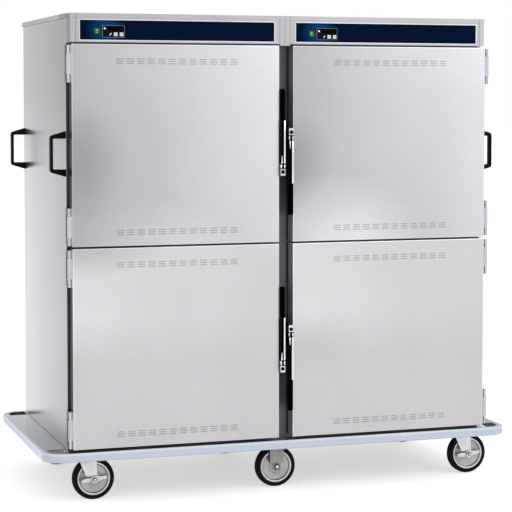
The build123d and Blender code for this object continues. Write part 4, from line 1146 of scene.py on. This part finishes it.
for node, material in finishes.items():
    nodes[node].data.materials.clear()
    nodes[node].data.materials.append(material)


# Floor, light and camera


def ray_masks(material):
    """Masks of the rays that the camera sees, also through glass, and of those that steel mirrors."""
    path = add(material.node_tree, "ShaderNodeLightPath").outputs
    seen = sums("MAXIMUM", path["Is Camera Ray"], path["Is Transmission Ray"])
    return seen, path["Is Glossy Ray"]


def floor_finish():
    """Pale floor that keeps the shadow and looks white elsewhere to the camera and to steel."""
    camera_lift, steel_lift = 0.58, 0.30
    material = finish("studio_floor", (0.86, 0.86, 0.87), 0.7)
    seen, glossy = ray_masks(material)
    lift = sums("MULTIPLY_ADD", seen, camera_lift, sums("MULTIPLY", glossy, steel_lift))
    material.node_tree.nodes["Principled BSDF"].inputs["Emission Color"].default_value = white
    feed(material, "Emission Strength", lift)
    return material


floor_size = 60.0
bm = bmesh.new()
bmesh.ops.create_grid(bm, x_segments=1, y_segments=1, size=floor_size)
floor = placed("floor", to_mesh(bm, "floor", floor_finish()))

world = bpy.data.worlds.new("studio")
scene.world = world
world.use_nodes = True
seen, glossy = ray_masks(world)
bright_way = (0.62, -0.78, 0.0)
dim_wall, bright_wall, ambient_grey = (0.62,) * 3, (1.0,) * 3, (0.62, 0.62, 0.63, 1.0)
way = add(world.node_tree, "ShaderNodeTexCoord").outputs["Generated"]
facing = work_on("ShaderNodeVectorMath", {0: way, 1: bright_way}, operation="DOT_PRODUCT").outputs["Value"]
room = tint(spread(facing, 0.0, 1.0, -0.2, 1.0), dim_wall, bright_wall, 0.0, 1.0)
mirrored_room = blend(glossy, ambient_grey, room)
backdrop = world.node_tree.nodes["Background"]
world.node_tree.links.new(blend(seen, mirrored_room, white), backdrop.inputs["Color"])
backdrop.inputs["Strength"].default_value = 1.0


def soft_lamp(name, spot, target, width, height, power):
    """A large soft lamp that points at a target."""
    lamp = bpy.data.lights.new(name, "AREA")
    lamp.shape = "RECTANGLE"
    lamp.size, lamp.size_y = width, height
    lamp.energy = power
    holder = placed(name, lamp)
    holder.location = spot
    holder.rotation_euler = (Vector(target) - Vector(spot)).to_track_quat("-Z", "Y").to_euler()


soft_lamp("key_lamp", (4.2, -6.0, 5.0), (0.0, 0.0, 0.9), 5.0, 4.0, 190.0)
soft_lamp("fill_lamp", (-5.5, -4.0, 3.4), (0.0, 0.0, 0.8), 5.0, 4.0, 80.0)

photo_width = 512  # pixels
focal_length, lens_shift = 1744.8, -61.0  # pixels
tilt_down, turn_right = math.radians(3.087), math.radians(18.072)
lens = bpy.data.cameras.new("photo_lens")
lens.sensor_width = 36.0
lens.lens = focal_length / photo_width * lens.sensor_width
lens.shift_y = lens_shift / photo_width
lens.clip_end = 200.0
camera = placed("photo_camera", lens)
camera.location = (-2.0592, -6.4036, 1.4294)
camera.rotation_euler = (math.pi / 2 - tilt_down, 0.0, -turn_right)
scene.camera = camera
scene.view_settings.view_transform = "Standard"
